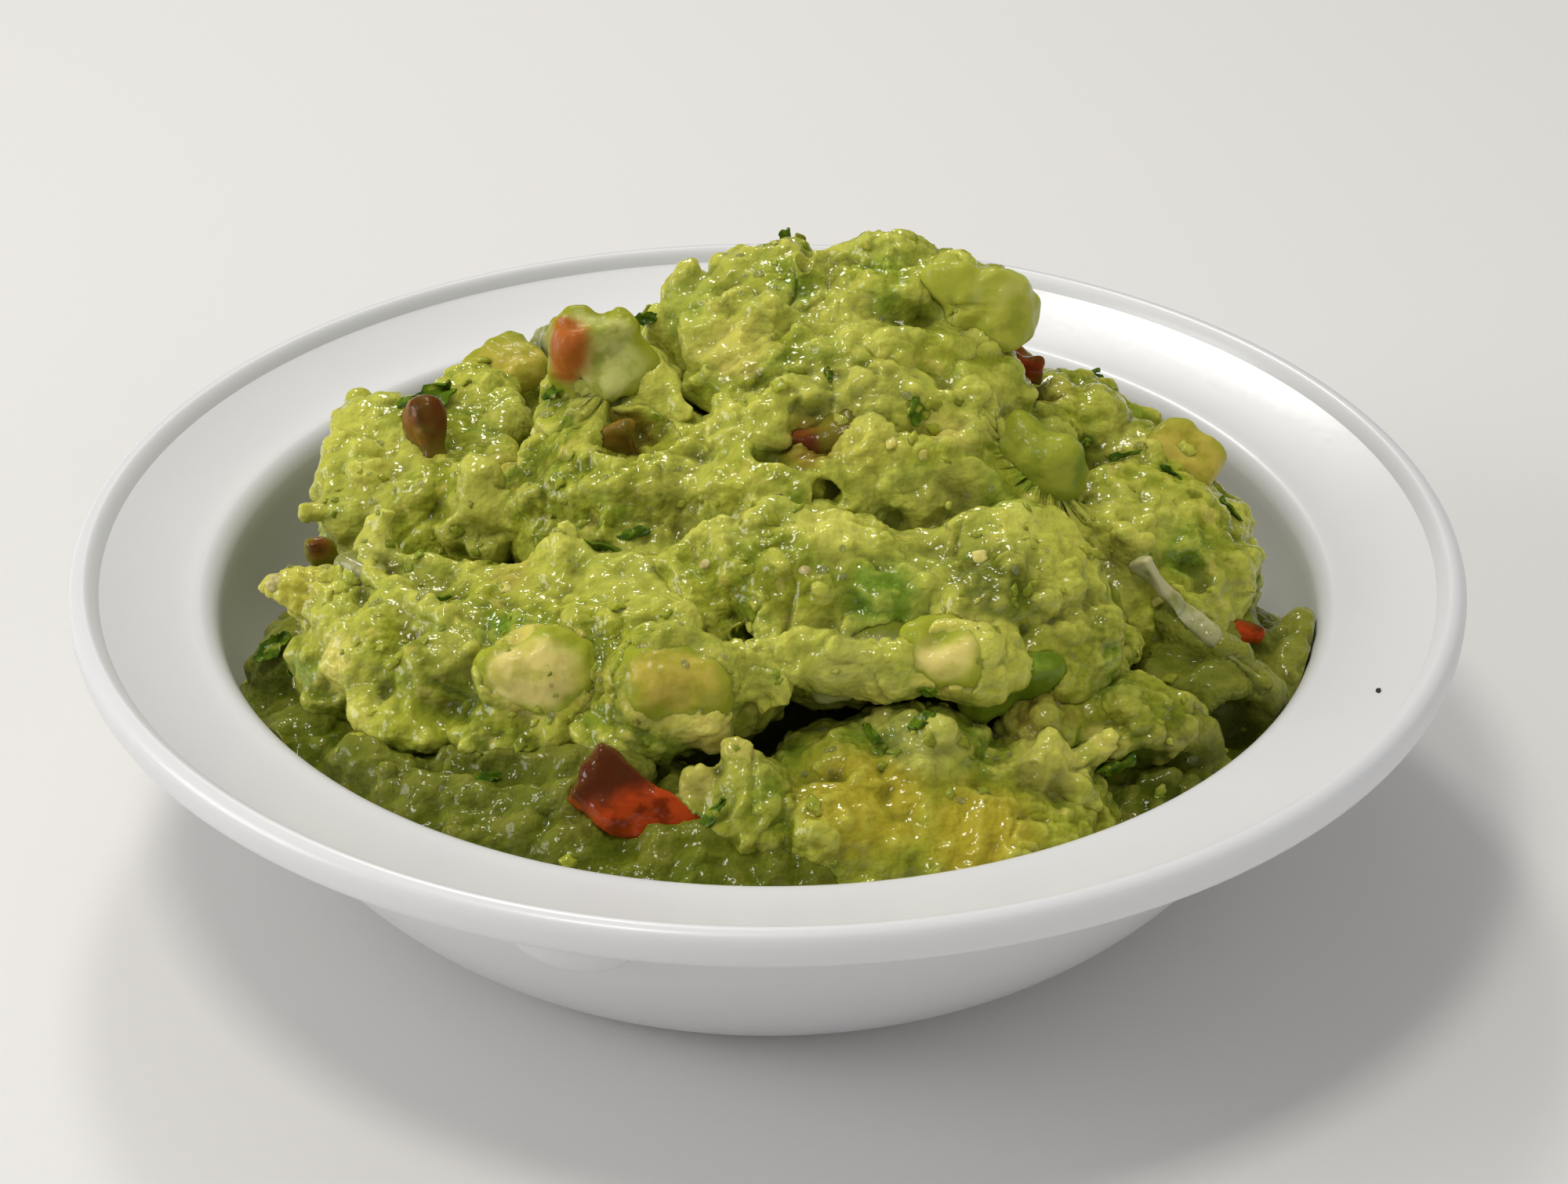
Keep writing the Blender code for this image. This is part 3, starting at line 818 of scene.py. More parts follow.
@dataclass(frozen=True)
class Spoonful:
    """One spoonful of mash, or a few that ran together.

    knobs is how many small lumps sit on its surface, knob_size their least and greatest half
    size in mm, strands how many short drawn-out ones, and crumble how many crumbs sit on each mm
    of a ridge. voxel is the size in mm to which the shape is worked, and swell, clot, curd, grain
    and fine are the heights in mm of its relief. Its shade depth is how much painted shade darkens
    it where it lies low in the heap.
    """

    name: str
    lumps: tuple[Lump, ...]
    ridges: tuple[Ridge, ...] = ()
    hollows: tuple[Lump, ...] = ()
    knobs: int = 60
    knob_size: Pair = (1.0, 2.6)
    strands: int = 30
    crumble: float = 0.9
    seed: int = 1
    voxel: float = 0.5
    low_shade_depth: float = 0.0
    swell: float = 1.7
    clot: float = 0.8
    curd: float = 0.42
    grain: float = 0.34
    fine: float = 0.18

    def surface_place(self, lump: Lump, way: np.ndarray, depth: float) -> Vector:
        """The place in mm where a direction leaves a lump, at a share of its half sizes."""
        angle = lump.turn if isinstance(lump.turn, (int, float)) else lump.turn[2]
        local = Vector(way * np.array(lump.half) * depth)
        return Euler((0.0, 0.0, math.radians(angle))).to_matrix() @ local + Vector(lump.centre)

    def details(self) -> list[Matrix]:
        """Small lumps and short drawn-out strands at random places on the larger lumps."""
        balls = []
        random = np.random.default_rng(self.seed)
        areas = np.array([lump.half[0] * lump.half[1] + lump.half[0] * lump.half[2] for lump in self.lumps])
        picks = random.choice(len(self.lumps), self.knobs + self.strands, p=areas / areas.sum())
        for number, pick in enumerate(picks):
            lump = self.lumps[pick]
            way = random.normal(size=3)
            way[2] = abs(way[2]) * 0.8 - 0.15
            way /= np.linalg.norm(way)
            size = random.uniform(*self.knob_size)
            if number < self.knobs:
                place = self.surface_place(lump, way, 0.94)
                half = size * random.uniform(0.75, 1.3, size=3)
                turn = tuple(random.uniform(-60.0, 60.0, size=3))
                balls.append(Lump(tuple(place), tuple(half), turn).matrix())
                continue
            path = []
            heading = random.normal(size=3) * 0.16
            lift = random.uniform(0.0, 0.05)
            for step in range(4):
                place = self.surface_place(lump, way, 0.97 + lift * step)
                path.append((*place, size * (0.75 - 0.12 * step)))
                way = way + heading * 4.0 / max(lump.half)
                way /= np.linalg.norm(way)
            balls += Ridge(tuple(path)).matrices()
        for ridge in self.ridges:
            for start, end in zip(ridge.points, ridge.points[1:]):
                length = math.dist(start[:3], end[:3])
                for _ in range(round(length * self.crumble)):
                    at = Vector(start).lerp(Vector(end), random.random())
                    way = random.normal(size=3)
                    way[2] = abs(way[2])
                    way *= at[3] * 0.95 / np.linalg.norm(way)
                    half = random.uniform(0.45, 1.15) * random.uniform(0.8, 1.2, size=3)
                    balls.append(Lump(tuple(np.array(at[:3]) + way), tuple(half)).matrix())
        return balls

    def shape(self) -> bpy.types.Object:
        """Run the lumps, ridges and knobs together and cut the hollows."""
        small = [matrix for ridge in self.ridges for matrix in ridge.matrices()] + self.details()
        large = copies(ball(4), "lumps", [lump.matrix() for lump in self.lumps])
        piece = copies(ball(2), self.name, small)
        object_mode()
        large.select_set(True)
        piece.select_set(True)
        bpy.context.view_layer.objects.active = piece
        bpy.ops.object.join()
        object_mode()
        modify(piece, "REMESH", mode="VOXEL", voxel_size=max(0.62, self.voxel) * MM)
        for hollow in self.hollows:
            bpy.ops.mesh.primitive_ico_sphere_add(
                subdivisions=4,
                radius=1.0,
                location=metres(hollow.centre),
                rotation=(0.0, 0.0, math.radians(float(hollow.turn))),
                scale=metres(hollow.half),
            )
            cutter = bpy.context.object
            settle(cutter)
            roll_surface(cutter, 3.0, 1.8)
            modify(piece, "BOOLEAN", operation="DIFFERENCE", object=cutter, solver="EXACT")
            bpy.data.objects.remove(cutter)
        modify(piece, "SMOOTH", factor=0.5, iterations=1)
        return piece

    def roughen(self, piece: bpy.types.Object) -> None:
        """Fold and tear the paste: swells, rounded clots parted by creases, and grains in patches."""
        points = read_points(piece) / MM
        size, seed = FOLDS
        warp = np.stack([rolling_noise(points, size, seed + axis) for axis in range(3)], axis=1) * 1.4
        folded = points + warp
        torn = smoothstep(0.2 + 1.6 * rolling_noise(points, *TEARS))
        creases = np.clip(0.16 - np.abs(rolling_noise(folded, *CREASES)), 0.0, 1.0)
        height = self.swell * 0.5 * rolling_noise(folded, *SWELLS)
        height += self.clot * 0.6 * rolling_noise(folded, *CLOTS) - self.clot * 4.2 * creases * torn
        height += self.curd * rolling_noise(points + warp * 0.4, *CURDS)
        height += self.curd * 0.45 * rolling_noise(points, *SMALL_CURDS)
        height -= furrow_depth(points)
        write_points(piece, (points + read_normals(piece) * height[:, None]) * MM)
        points = read_points(piece) / MM
        patch = smoothstep(0.4 + 1.5 * rolling_noise(points, *GRAIN_PATCHES))
        grains = grain_bumps(points, *GRAINS) * self.grain * patch
        fine = grain_bumps(points, *FINE_GRAINS) * self.fine * (0.25 + 0.75 * patch)
        write_points(piece, (points + read_normals(piece) * (grains + fine)[:, None]) * MM)

    def build(self, well: Well, material: bpy.types.Material) -> bpy.types.Object:
        """Shape the spoonful, give it its relief and tints, and dress it.

        Args:
            well: the space that it has to stay in.
            material: the mash's material.

        Returns:
            The spoonful.
        """
        piece = self.shape()
        modify(piece, "REMESH", mode="VOXEL", voxel_size=self.voxel * MM)
        modify(piece, "SMOOTH", factor=0.5, iterations=2)
        self.roughen(piece)
        write_points(piece, well.trim(read_points(piece)))
        shade(piece)
        self.tint(piece)
        give_material(piece, material)
        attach(piece, ROOT)
        return piece

    def tint(self, piece: bpy.types.Object) -> None:
        """Store where the mash stands out and where its ridges are, for painted light and shade, how much
        painted shade it gets for lying low, and its patches of other tints.
        """
        points = read_points(piece) / MM
        self.mark_heights(piece)
        # Painted shade for a spoonful that lies low in the heap, the same all over it.
        write_attribute(piece, "low_shade", np.full(len(points), self.low_shade_depth))
        write_attribute(piece, "ridge", self.on_ridges(points))
        warp = rolling_noise(points, 2.2, 5) * 0.9 + rolling_noise(points, 0.9, 9) * 0.5
        for tint in Tint:
            values = np.zeros(len(points))
            for *centre, radius, strength in SPOTS[tint]:
                away = np.linalg.norm(points - np.array(centre), axis=1) + warp
                inside = smoothstep((radius - away) / (0.55 * radius))
                values = np.maximum(values, inside * strength)
            write_attribute(piece, tint.value, values)

    def mark_heights(self, piece: bpy.types.Object) -> None:
        """Store how far each point stands out of the surface once that is evened out."""
        points = read_points(piece)
        normals = read_normals(piece)
        edges = np.empty(len(piece.data.edges) * 2, np.int32)
        piece.data.edges.foreach_get("vertices", edges)
        edges = edges.reshape(-1, 2)
        ends = np.concatenate([edges[:, 0], edges[:, 1]])
        others = np.concatenate([edges[:, 1], edges[:, 0]])
        count = np.bincount(ends, minlength=len(points))
        even = points.copy()
        for rounds in range(1, max(HEIGHT_MARKS) + 1):
            sums = [
                np.bincount(ends, weights=even[others, axis], minlength=len(points)) for axis in range(3)
            ]
            even = np.stack(sums, axis=1) / count[:, None]
            if rounds in HEIGHT_MARKS:
                label, reach = HEIGHT_MARKS[rounds]
                stand = np.einsum("ij,ij->i", points - even, normals) / (reach * MM)
                write_attribute(piece, label, 0.5 + 0.5 * np.clip(stand, -1.0, 1.0))

    def on_ridges(self, points: np.ndarray) -> np.ndarray:
        """How much each place in mm is on one of the spoonful's ridges, from 0 to 1."""
        nearest = np.full(len(points), 9.0)
        for matrix in (matrix for ridge in self.ridges for matrix in ridge.matrices()):
            x, y, z = matrix.to_translation() / MM
            radius = matrix.median_scale / MM
            away = np.linalg.norm(points - (x, y, z + 0.4 * radius), axis=1) / (radius + 0.8)
            nearest = np.minimum(nearest, away)
        return smoothstep((1.75 - nearest) / 0.9)


# Where spoonfuls meet, the mash between them is pressed in along these lines.
FURROWS = (
    Ridge((
        (-40, -12.5, 43.5, 2.6), (-30, -14.0, 44.5, 3.0), (-25, -14.8, 46.4, 3.0),
        (-19, -17.6, 48.0, 3.0),
    )),
    Ridge(((-19, -17.6, 48.0, 3.0), (-11, -19.6, 49.6, 2.8), (-4, -20.2, 51.0, 2.4))),
    Ridge((
        (-7.4, -26.5, 49.4, 2.0), (-5.6, -31.0, 47.6, 2.3), (-4.0, -35.5, 45.4, 2.4),
        (-3.0, -39.0, 43.0, 2.0),
    )),
    Ridge(((36.6, -10.6, 49.6, 2.2), (36.0, -15.0, 47.8, 2.5), (35.0, -19.0, 46.4, 2.3))),
    Ridge(((37.6, -19.0, 45.0, 2.3), (40.0, -24.0, 41.6, 2.5), (40.6, -28.5, 38.4, 2.2))),
)


def furrow_depth(points: np.ndarray) -> np.ndarray:
    """How far the furrows between the spoonfuls press the mash in.

    Args:
        points: places in mm.

    Returns:
        One depth in mm for each place.
    """
    depth = np.zeros(len(points))
    for furrow in FURROWS:
        for start, end in zip(furrow.points, furrow.points[1:]):
            first = np.array(start)
            along = np.array(end) - first
            share = np.clip((points - first[:3]) @ along[:3] / (along[:3] @ along[:3]), 0.0, 1.0)
            middle = first + share[:, None] * along
            away = np.linalg.norm(points - middle[:, :3], axis=1) / middle[:, 3]
            depth = np.maximum(depth, middle[:, 3] * 0.7 * np.clip(1.0 - away**2 / 2.2, 0.0, 1.0) ** 1.5)
    return depth


CORE = Spoonful(
    "core",
    (
        Lump((0, -2, 9), (72, 70, 19.5)),
        Lump((0, 0, 30), (34, 26, 18)),
        Lump((6, 12, 44), (20, 15, 16)),
    ),
    knobs=160,
    knob_size=(1.5, 3.5),
    seed=3,
    voxel=0.9,
    low_shade_depth=1.0,
)

LOWER_LEFT = Spoonful(
    "lower_left",
    (
        Lump((-50, -21, 19), (13, 19, 10), 20),
        Lump((-33, -41, 24), (24, 18, 9), -32),
        Lump((-6, -51, 24), (26, 15, 9.5)),
        Lump((-50, -33, 29), (5, 6, 4)),
        Lump((-42, -42, 30), (7, 4, 4.5), -35),
        Lump((-30, -51, 28.5), (9, 5, 4), -25),
        Lump((-19, -55, 29), (7, 5, 4)),
        Lump((-54, -14, 27), (6, 7, 6)),
    ),
    ridges=(
        Ridge(((-40, -46, 31, 2.6), (-30, -49, 32.5, 2.2), (-20, -50.5, 33.5, 2.2))),
        Ridge(((-34, -43, 33, 2.4), (-24, -46, 34.5, 2.0), (-14, -48, 35, 1.8))),
    ),
    knobs=150,
    seed=11,
    voxel=0.5,
    low_shade_depth=1.1,
)

LOWER_FRONT = Spoonful(
    "lower_front",
    (
        Lump((18, -47, 25.5), (21, 17, 9.5), 12),
        Lump((12, -44, 31), (13, 9, 6)),
        Lump((16, -42, 34), (7, 6, 4.5)),
        Lump((6, -53, 31), (8, 6, 5)),
        Lump((17, -52, 29), (8, 6, 5)),
        Lump((25, -54, 26), (6, 6, 5)),
    ),
    ridges=(
        Ridge(((17.8, -46.0, 34.6, 2.4), (18.2, -45.6, 36.8, 1.5), (18.5, -45.2, 38.4, 1.6))),
    ),
    knobs=90,
    knob_size=(0.9, 2.2),
    seed=21,
    voxel=0.36,
    low_shade_depth=0.25,
    swell=1.2,
)

GREEN_LUMP = Spoonful(
    "green_lump",
    (
        Lump((-1, -53.5, 30), (5.6, 5, 6.5), 10),
        Lump((-2, -51, 34.5), (4.4, 3.8, 3.4)),
        Lump((1.5, -52.5, 32.5), (3.4, 3.4, 3.6)),
    ),
    ridges=(
        Ridge(((-8.2, -52.5, 32.5, 2.4), (-8.0, -51.6, 34.8, 1.8), (-7.6, -51, 36.5, 1.9))),
        Ridge(((-3.2, -50, 36.2, 2.4), (-3.7, -49, 38.2, 1.9))),
    ),
    knobs=26,
    knob_size=(0.7, 1.6),
    seed=31,
    voxel=0.32,
    low_shade_depth=0.5,
    swell=1.2,
)

LOWER_RIGHT = Spoonful(
    "lower_right",
    (
        Lump((42, -31, 22), (19, 20, 9), 25),
        Lump((56, -14, 23), (9, 16, 9), 8),
        Lump((49, -26, 29), (8, 6, 6), -30),
        Lump((60, -17, 27.5), (5, 7, 4.5), 10),
        Lump((51, -14, 33), (4.6, 3.6, 3.2)),
        Lump((44, -40, 25), (6, 6, 5)),
    ),
    ridges=(
        Ridge(((46, -21, 38, 2.4), (51, -24, 35, 2.8), (55.5, -26, 31, 2.8), (58, -26.5, 28, 2.4))),
        Ridge(((43, -35, 34.5, 2.0), (47.5, -36, 31.5, 2.4), (50, -36, 28, 2.4))),
        Ridge(((62.5, -11, 31.5, 2.0), (61, -19, 31, 2.2), (58, -24, 28.5, 2.2))),
    ),
    hollows=(Lump((54, -32.5, 30.4), (4.2, 6.5, 4.0), 30), Lump((62, -20.5, 29), (3.0, 3.4, 2.6))),
    knobs=90,
    seed=41,
    voxel=0.5,
    low_shade_depth=0.95,
)

PALE_CLUSTER = Spoonful(
    "pale_cluster",
    (
        Lump((24.5, -46, 32), (3.8, 3.4, 3.0)),
        Lump((30, -45, 33), (3.4, 3.2, 3.6), 20),
        Lump((32, -46.5, 31.5), (3.2, 3.0, 3.2)),
        Lump((28, -44, 31.5), (6.0, 4.0, 2.6)),
    ),
    ridges=(
        Ridge(((33, -44, 32.5, 2.4), (35.5, -42.6, 34.0, 1.6), (36.9, -42, 35.6, 0.8))),
        Ridge(((29.5, -44.5, 35, 1.8), (30.4, -44.2, 36.8, 1.5))),
    ),
    knobs=34,
    knob_size=(0.8, 1.7),
    seed=51,
    voxel=0.32,
    swell=1.2,
)

RIGHT_LUMP = Spoonful(
    "right_lump",
    (
        Lump((41, -34.5, 32), (6.5, 5.5, 5.5), 20),
        Lump((37.5, -34, 34.5), (4.5, 4, 3.6)),
        Lump((43.6, -35.6, 32.2), (3.2, 3.0, 3.0)),
        Lump((31.5, -38.5, 34.5), (5.4, 2.6, 2.4), 12),
        Lump((34.5, -38, 31.5), (6, 4, 3.5)),
    ),
    knobs=40,
    knob_size=(0.9, 2.0),
    seed=61,
    voxel=0.36,
    low_shade_depth=0.4,
    swell=1.2,
)

FRONT_LEFT = Spoonful(
    "front_left",
    (
        Lump((-41, -23, 34), (13, 12, 8), 20),
        Lump((-27, -25, 35), (17, 15, 9), -8),
        Lump((-12, -29, 37), (16, 13.5, 9.5)),
        Lump((-43.0, -29, 37.5), (6, 6, 5.4), 20),
        Lump((-36.0, -34, 38), (5.4, 5, 5.4)),
        Lump((-24.6, -38, 40), (6.4, 5.4, 5.6)),
        Lump((-29.5, -35, 36), (6, 6, 5)),
        Lump((-10, -40.5, 41), (7.4, 6.6, 6.8)),
        Lump((-20, -22, 41.5), (7, 5, 4)),
        Lump((-12, -25.5, 42.5), (7, 5, 3.8)),
        Lump((-15.5, -33, 43), (5.4, 5, 3.8)),
        Lump((-25.5, -30.5, 41.5), (4.4, 4, 3.6)),
        Lump((-39, -38, 34.5), (6, 4, 3.2), -20),
        Lump((-28, -41.5, 35.5), (7, 3.4, 3.0), -6),
        Lump((-14, -43, 36.4), (7, 4, 3.2)),
    ),
    ridges=(
        Ridge(((-45, -20, 38.5, 4.6), (-51, -20.2, 40.6, 2.8), (-56.8, -20.2, 41.6, 1.0))),
        Ridge(((-46, -24, 38.0, 3.4), (-50.5, -22, 39.4, 2.6), (-55.5, -20.6, 40.8, 1.0))),
        Ridge((
            (-44, -15, 39.5, 4.2), (-44.6, -12.8, 43.0, 2.8), (-44.2, -12, 45.6, 1.6),
            (-43.2, -12.2, 46.4, 1.2),
        )),
        Ridge((
            (-44, -14, 41.2, 2.8), (-38, -17, 41.8, 2.2), (-32, -18.5, 41.2, 2.2), (-26, -20, 42, 3.0),
        )),
        Ridge(((-22.4, -21, 41.6, 5.4), (-22.4, -19.0, 45.4, 3.2), (-22.4, -18.2, 48.0, 1.9))),
        Ridge((
            (-22, -19, 44, 2.6), (-16.5, -22, 44.4, 2.6), (-11, -23.5, 44.6, 2.8), (-6, -26, 43.0, 3.0),
        )),
        Ridge((
            (-20.5, -21, 44.5, 2.0), (-18.0, -26.5, 44.8, 2.0), (-14.0, -31, 45.2, 2.2),
            (-9.0, -35.5, 45.0, 2.6),
        )),
        Ridge(((-44.5, -15, 42.5, 1.8), (-47.5, -20.5, 42.2, 2.0), (-48.6, -26, 40.2, 2.2))),
        Ridge((
            (-46.0, -19, 43, 1.8), (-40.0, -25.6, 42.6, 1.8), (-35.4, -30.4, 42.4, 2.0),
            (-33.0, -34.4, 41.6, 2.2),
        )),
        Ridge(((-5.8, -44, 37.5, 2.8), (-6.2, -45, 39.2, 2.4), (-6.0, -44.6, 41.0, 1.6))),
        Ridge((
            (-3.5, -38.5, 43.5, 2.6), (-0.5, -40.5, 43, 2.2), (1.2, -41.5, 41.2, 2.0),
            (0.4, -42, 39.4, 1.7),
        )),
        Ridge(((-47, -28, 39.4, 2.4), (-46.5, -32, 37.9, 2.2), (-43.5, -37, 34.9, 2.0))),
    ),
    hollows=(
        Lump((2.5, -42.5, 37.4), (5.5, 6.0, 2.4), 5),
    ),
    knobs=130,
    knob_size=(0.8, 2.0),
    strands=34,
    seed=71,
    voxel=0.34,
    swell=1.2,
)

FRONT_RIGHT = Spoonful(
    "front_right",
    (
        Lump((4, -25, 42), (17, 12, 11)),
        Lump((26, -22, 40), (14, 13, 11.5), 10),
        Lump((32, -28, 37), (8.5, 9, 9)),
        Lump((12, -31, 45.5), (6.5, 5, 5)),
        Lump((22.5, -30, 45), (7, 5.5, 5)),
        Lump((30.5, -25, 44), (6, 6, 6)),
        Lump((2, -29, 46), (7, 5, 4.6)),
        Lump((6, -37.5, 42), (7, 4.4, 3.4)),
        Lump((14, -38, 42), (6, 4.2, 3.4)),
        Lump((21, -37.5, 42), (6, 4.2, 3.6)),
    ),
    ridges=(
        Ridge((
            (-4, -24, 48.5, 3.0), (-1.8, -22.6, 49.4, 2.2), (1.8, -23, 49.8, 2.1),
            (4.6, -22.4, 50.4, 2.1),
        )),
        Ridge((
            (4.4, -22.6, 50, 2.3), (6.9, -22.4, 51.4, 1.9), (9.7, -23.4, 50, 1.9),
            (13, -23.4, 47.6, 2.4),
        )),
        Ridge(((13, -23.4, 47.4, 2.8), (17.8, -23.2, 48.4, 2.4), (22.2, -22.4, 49.8, 2.3))),
        Ridge((
            (22.2, -22.4, 49.8, 2.4), (27.9, -20.6, 50, 2.4), (32.6, -21.4, 46.8, 2.4),
            (35.6, -26, 42, 2.4),
        )),
        Ridge(((4.6, -24, 49.6, 2.0), (6.6, -26.4, 48, 2.2), (6.8, -29, 46.4, 2.6))),
        Ridge((
            (10.2, -24.6, 48.6, 1.8), (13.2, -27.6, 47.6, 1.8), (17.6, -31, 46, 2.0),
            (18.4, -34.4, 43.4, 2.2),
        )),
        Ridge((
            (27, -24, 48.6, 2.2), (30.4, -27.8, 46, 2.4), (31.6, -30.6, 42.4, 2.6), (31.4, -32, 39, 2.4),
        )),
        Ridge((
            (2.0, -38.6, 43.8, 2.4), (8, -39.2, 44.0, 2.6), (14, -39.4, 43.2, 2.4),
            (24.4, -38.6, 43, 2.4),
        )),
        Ridge(((34.6, -27, 43, 2.2), (37, -29.4, 39.4, 2.2), (36.4, -31, 36.4, 2.0))),
    ),
    hollows=(Lump((0.5, -35.5, 43.6), (3.4, 2.6, 1.6), 20), Lump((9, -42.6, 37.4), (7.5, 6, 2.2))),
    knobs=150,
    knob_size=(0.9, 2.2),
    seed=81,
    voxel=0.34,
)

LEFT = Spoonful(
    "left",
    (
        Lump((-38, 3.5, 34.5), (16, 11.5, 10.5)),
        Lump((-33, -5.6, 41), (5, 4.5, 5)),
        Lump((-45, 2, 39.5), (7, 7, 5)),
        Lump((-40, 1, 42), (6, 5, 3.6)),
        Lump((-49, 7, 40), (5, 6, 5.5)),
        Lump((-29, -1, 42), (7, 6, 4)),
    ),
    ridges=(
        Ridge(((-49, -1.5, 40, 3.4), (-51.6, -2.4, 41.2, 2.0), (-54.6, -3, 42.2, 0.9))),
        Ridge(((-33, -7.6, 43.4, 2.9), (-33.4, -6.6, 46.2, 2.1), (-33.4, -6.4, 48.2, 1.7))),
        Ridge(((-51, 0, 40.6, 2.6), (-52, 4, 42.4, 2.0), (-51.2, 8, 44.0, 2.0))),
        Ridge(((-26, -9, 45.8, 2.0), (-26.2, -5.6, 47.2, 1.5), (-26.6, -1.6, 49, 1.3))),
        Ridge(((-26, -7, 45.6, 2.2), (-28.6, -8.6, 43.8, 2.2), (-31, -9, 42.6, 2.2))),
    ),
    hollows=(Lump((-29, 1.5, 46), (2.6, 4, 3)),),
    knobs=110,
    knob_size=(0.9, 2.2),
    seed=91,
    voxel=0.45,
)

BACK_LEFT = Spoonful(
    "back_left",
    (
        Lump((-41, 13, 35), (14, 14, 12)),
        Lump((-29, 26, 30), (17, 14, 14), 20),
        Lump((-48.4, 14, 42.6), (5, 6, 4)),
        Lump((-36.6, 15.6, 43), (5.6, 5, 3.6)),
        Lump((-34.8, 8.6, 42.6), (4.6, 4, 3.6)),
        Lump((-32.2, 11, 44), (3.2, 3, 3.0)),
        Lump((-35.6, 22, 43.6), (6, 5, 3.6)),
    ),
    ridges=(
        Ridge(((-50, 11, 43, 2.4), (-48.6, 14, 45.2, 1.8), (-45.6, 15.6, 46.2, 1.6))),
        Ridge(((-40, 18, 44.6, 2.6), (-37, 18.6, 45.6, 2.0), (-32, 17, 45.4, 2.0))),
    ),
    knobs=110,
    seed=101,
    voxel=0.5,
)

MIDDLE = Spoonful(
    "middle",
    (
        Lump((-14, -5, 42), (17, 16, 13)),
        Lump((2, -9, 43), (16, 15, 13.5)),
        Lump((20, -6, 42), (17, 15, 13.5)),
        Lump((-22.4, -0.6, 48), (5.4, 5, 4.6)),
        Lump((-9.6, -6.4, 51), (5, 4.4, 3.6)),
        Lump((-16, -14, 46.4), (6, 4.6, 3.8)),
        Lump((-3.6, -13, 50), (5, 4.4, 3.6)),
        Lump((17.4, -12.6, 52), (5.6, 4.4, 3.8)),
        Lump((22.6, -8.6, 52), (5, 4.4, 4)),
    ),
    ridges=(
        Ridge((
            (-8, -3, 52.4, 2.0), (-7.2, -4.4, 53.2, 1.6), (-6.4, -9, 52.4, 1.8), (-8.6, -13, 49.8, 2.4),
        )),
        Ridge(((12.6, -15.6, 52.4, 2.2), (10.8, -13.4, 55.2, 2.2), (11.6, -11, 56.4, 1.8))),
        Ridge(((13.6, -16.4, 51, 2.2), (17.6, -17.4, 49.8, 2.0), (20.6, -15, 50.4, 2.0))),
        Ridge(((-1, -17, 49.6, 2.2), (-6, -19.4, 47.2, 2.2), (-14, -19, 45, 2.2))),
    ),
    hollows=(
        Lump((6.4, -18.0, 52.2), (1.7, 4.6, 2.0)),
        Lump((-16, -7.5, 55.2), (5.4, 5.2, 4.6), 20),
        Lump((3.4, -13.4, 57.4), (7.0, 5.0, 3.6)),
    ),
    knobs=150,
    knob_size=(0.9, 2.3),
    seed=111,
    voxel=0.4,
)

UPPER_RIDGE = Spoonful(
    "upper_ridge",
    (
        Lump((-1, -6, 54), (8, 4.6, 4.6), 35),
        Lump((13, -5, 55), (12, 5, 5)),
        Lump((22, -5, 53), (6, 5, 5)),
        Lump((4, 2, 56), (14, 7, 6)),
        Lump((22, 3, 54), (9, 8, 6)),
    ),
    ridges=(
        Ridge((
            (-5.6, -9.4, 53.4, 1.9), (-3.4, -8.4, 55.6, 1.9), (0.4, -7.2, 58, 1.9),
            (3.1, -5.4, 59.6, 2.0),
        )),
        Ridge((
            (3.1, -5.4, 59.2, 2.2), (7.1, -6.2, 58.6, 2.1), (11.6, -6.4, 58.2, 2.0),
            (16.1, -4.6, 58.8, 1.9),
        )),
        Ridge((
            (16.1, -4.6, 58.6, 1.7), (17.4, -7.2, 57.6, 1.5), (19.8, -6.6, 56.6, 2.0), (25, -3, 55, 2.4),
        )),
    ),
    knobs=90,
    knob_size=(0.9, 2.0),
    seed=121,
    voxel=0.42,
)

MOUND = Spoonful(
    "mound",
    (
        Lump((-19, 6, 49.5), (8, 9, 7.5)),
        Lump((-22, 0.6, 50), (5, 5, 5)),
        Lump((-14, 3.4, 54), (4, 4, 4)),
    ),
    ridges=(Ridge(((-15, 3.4, 57.6, 2.2), (-13, 0.4, 56.4, 2.0), (-10.4, -3, 54.2, 2.0))),),
    knobs=46,
    knob_size=(0.9, 2.0),
    seed=131,
    voxel=0.42,
)

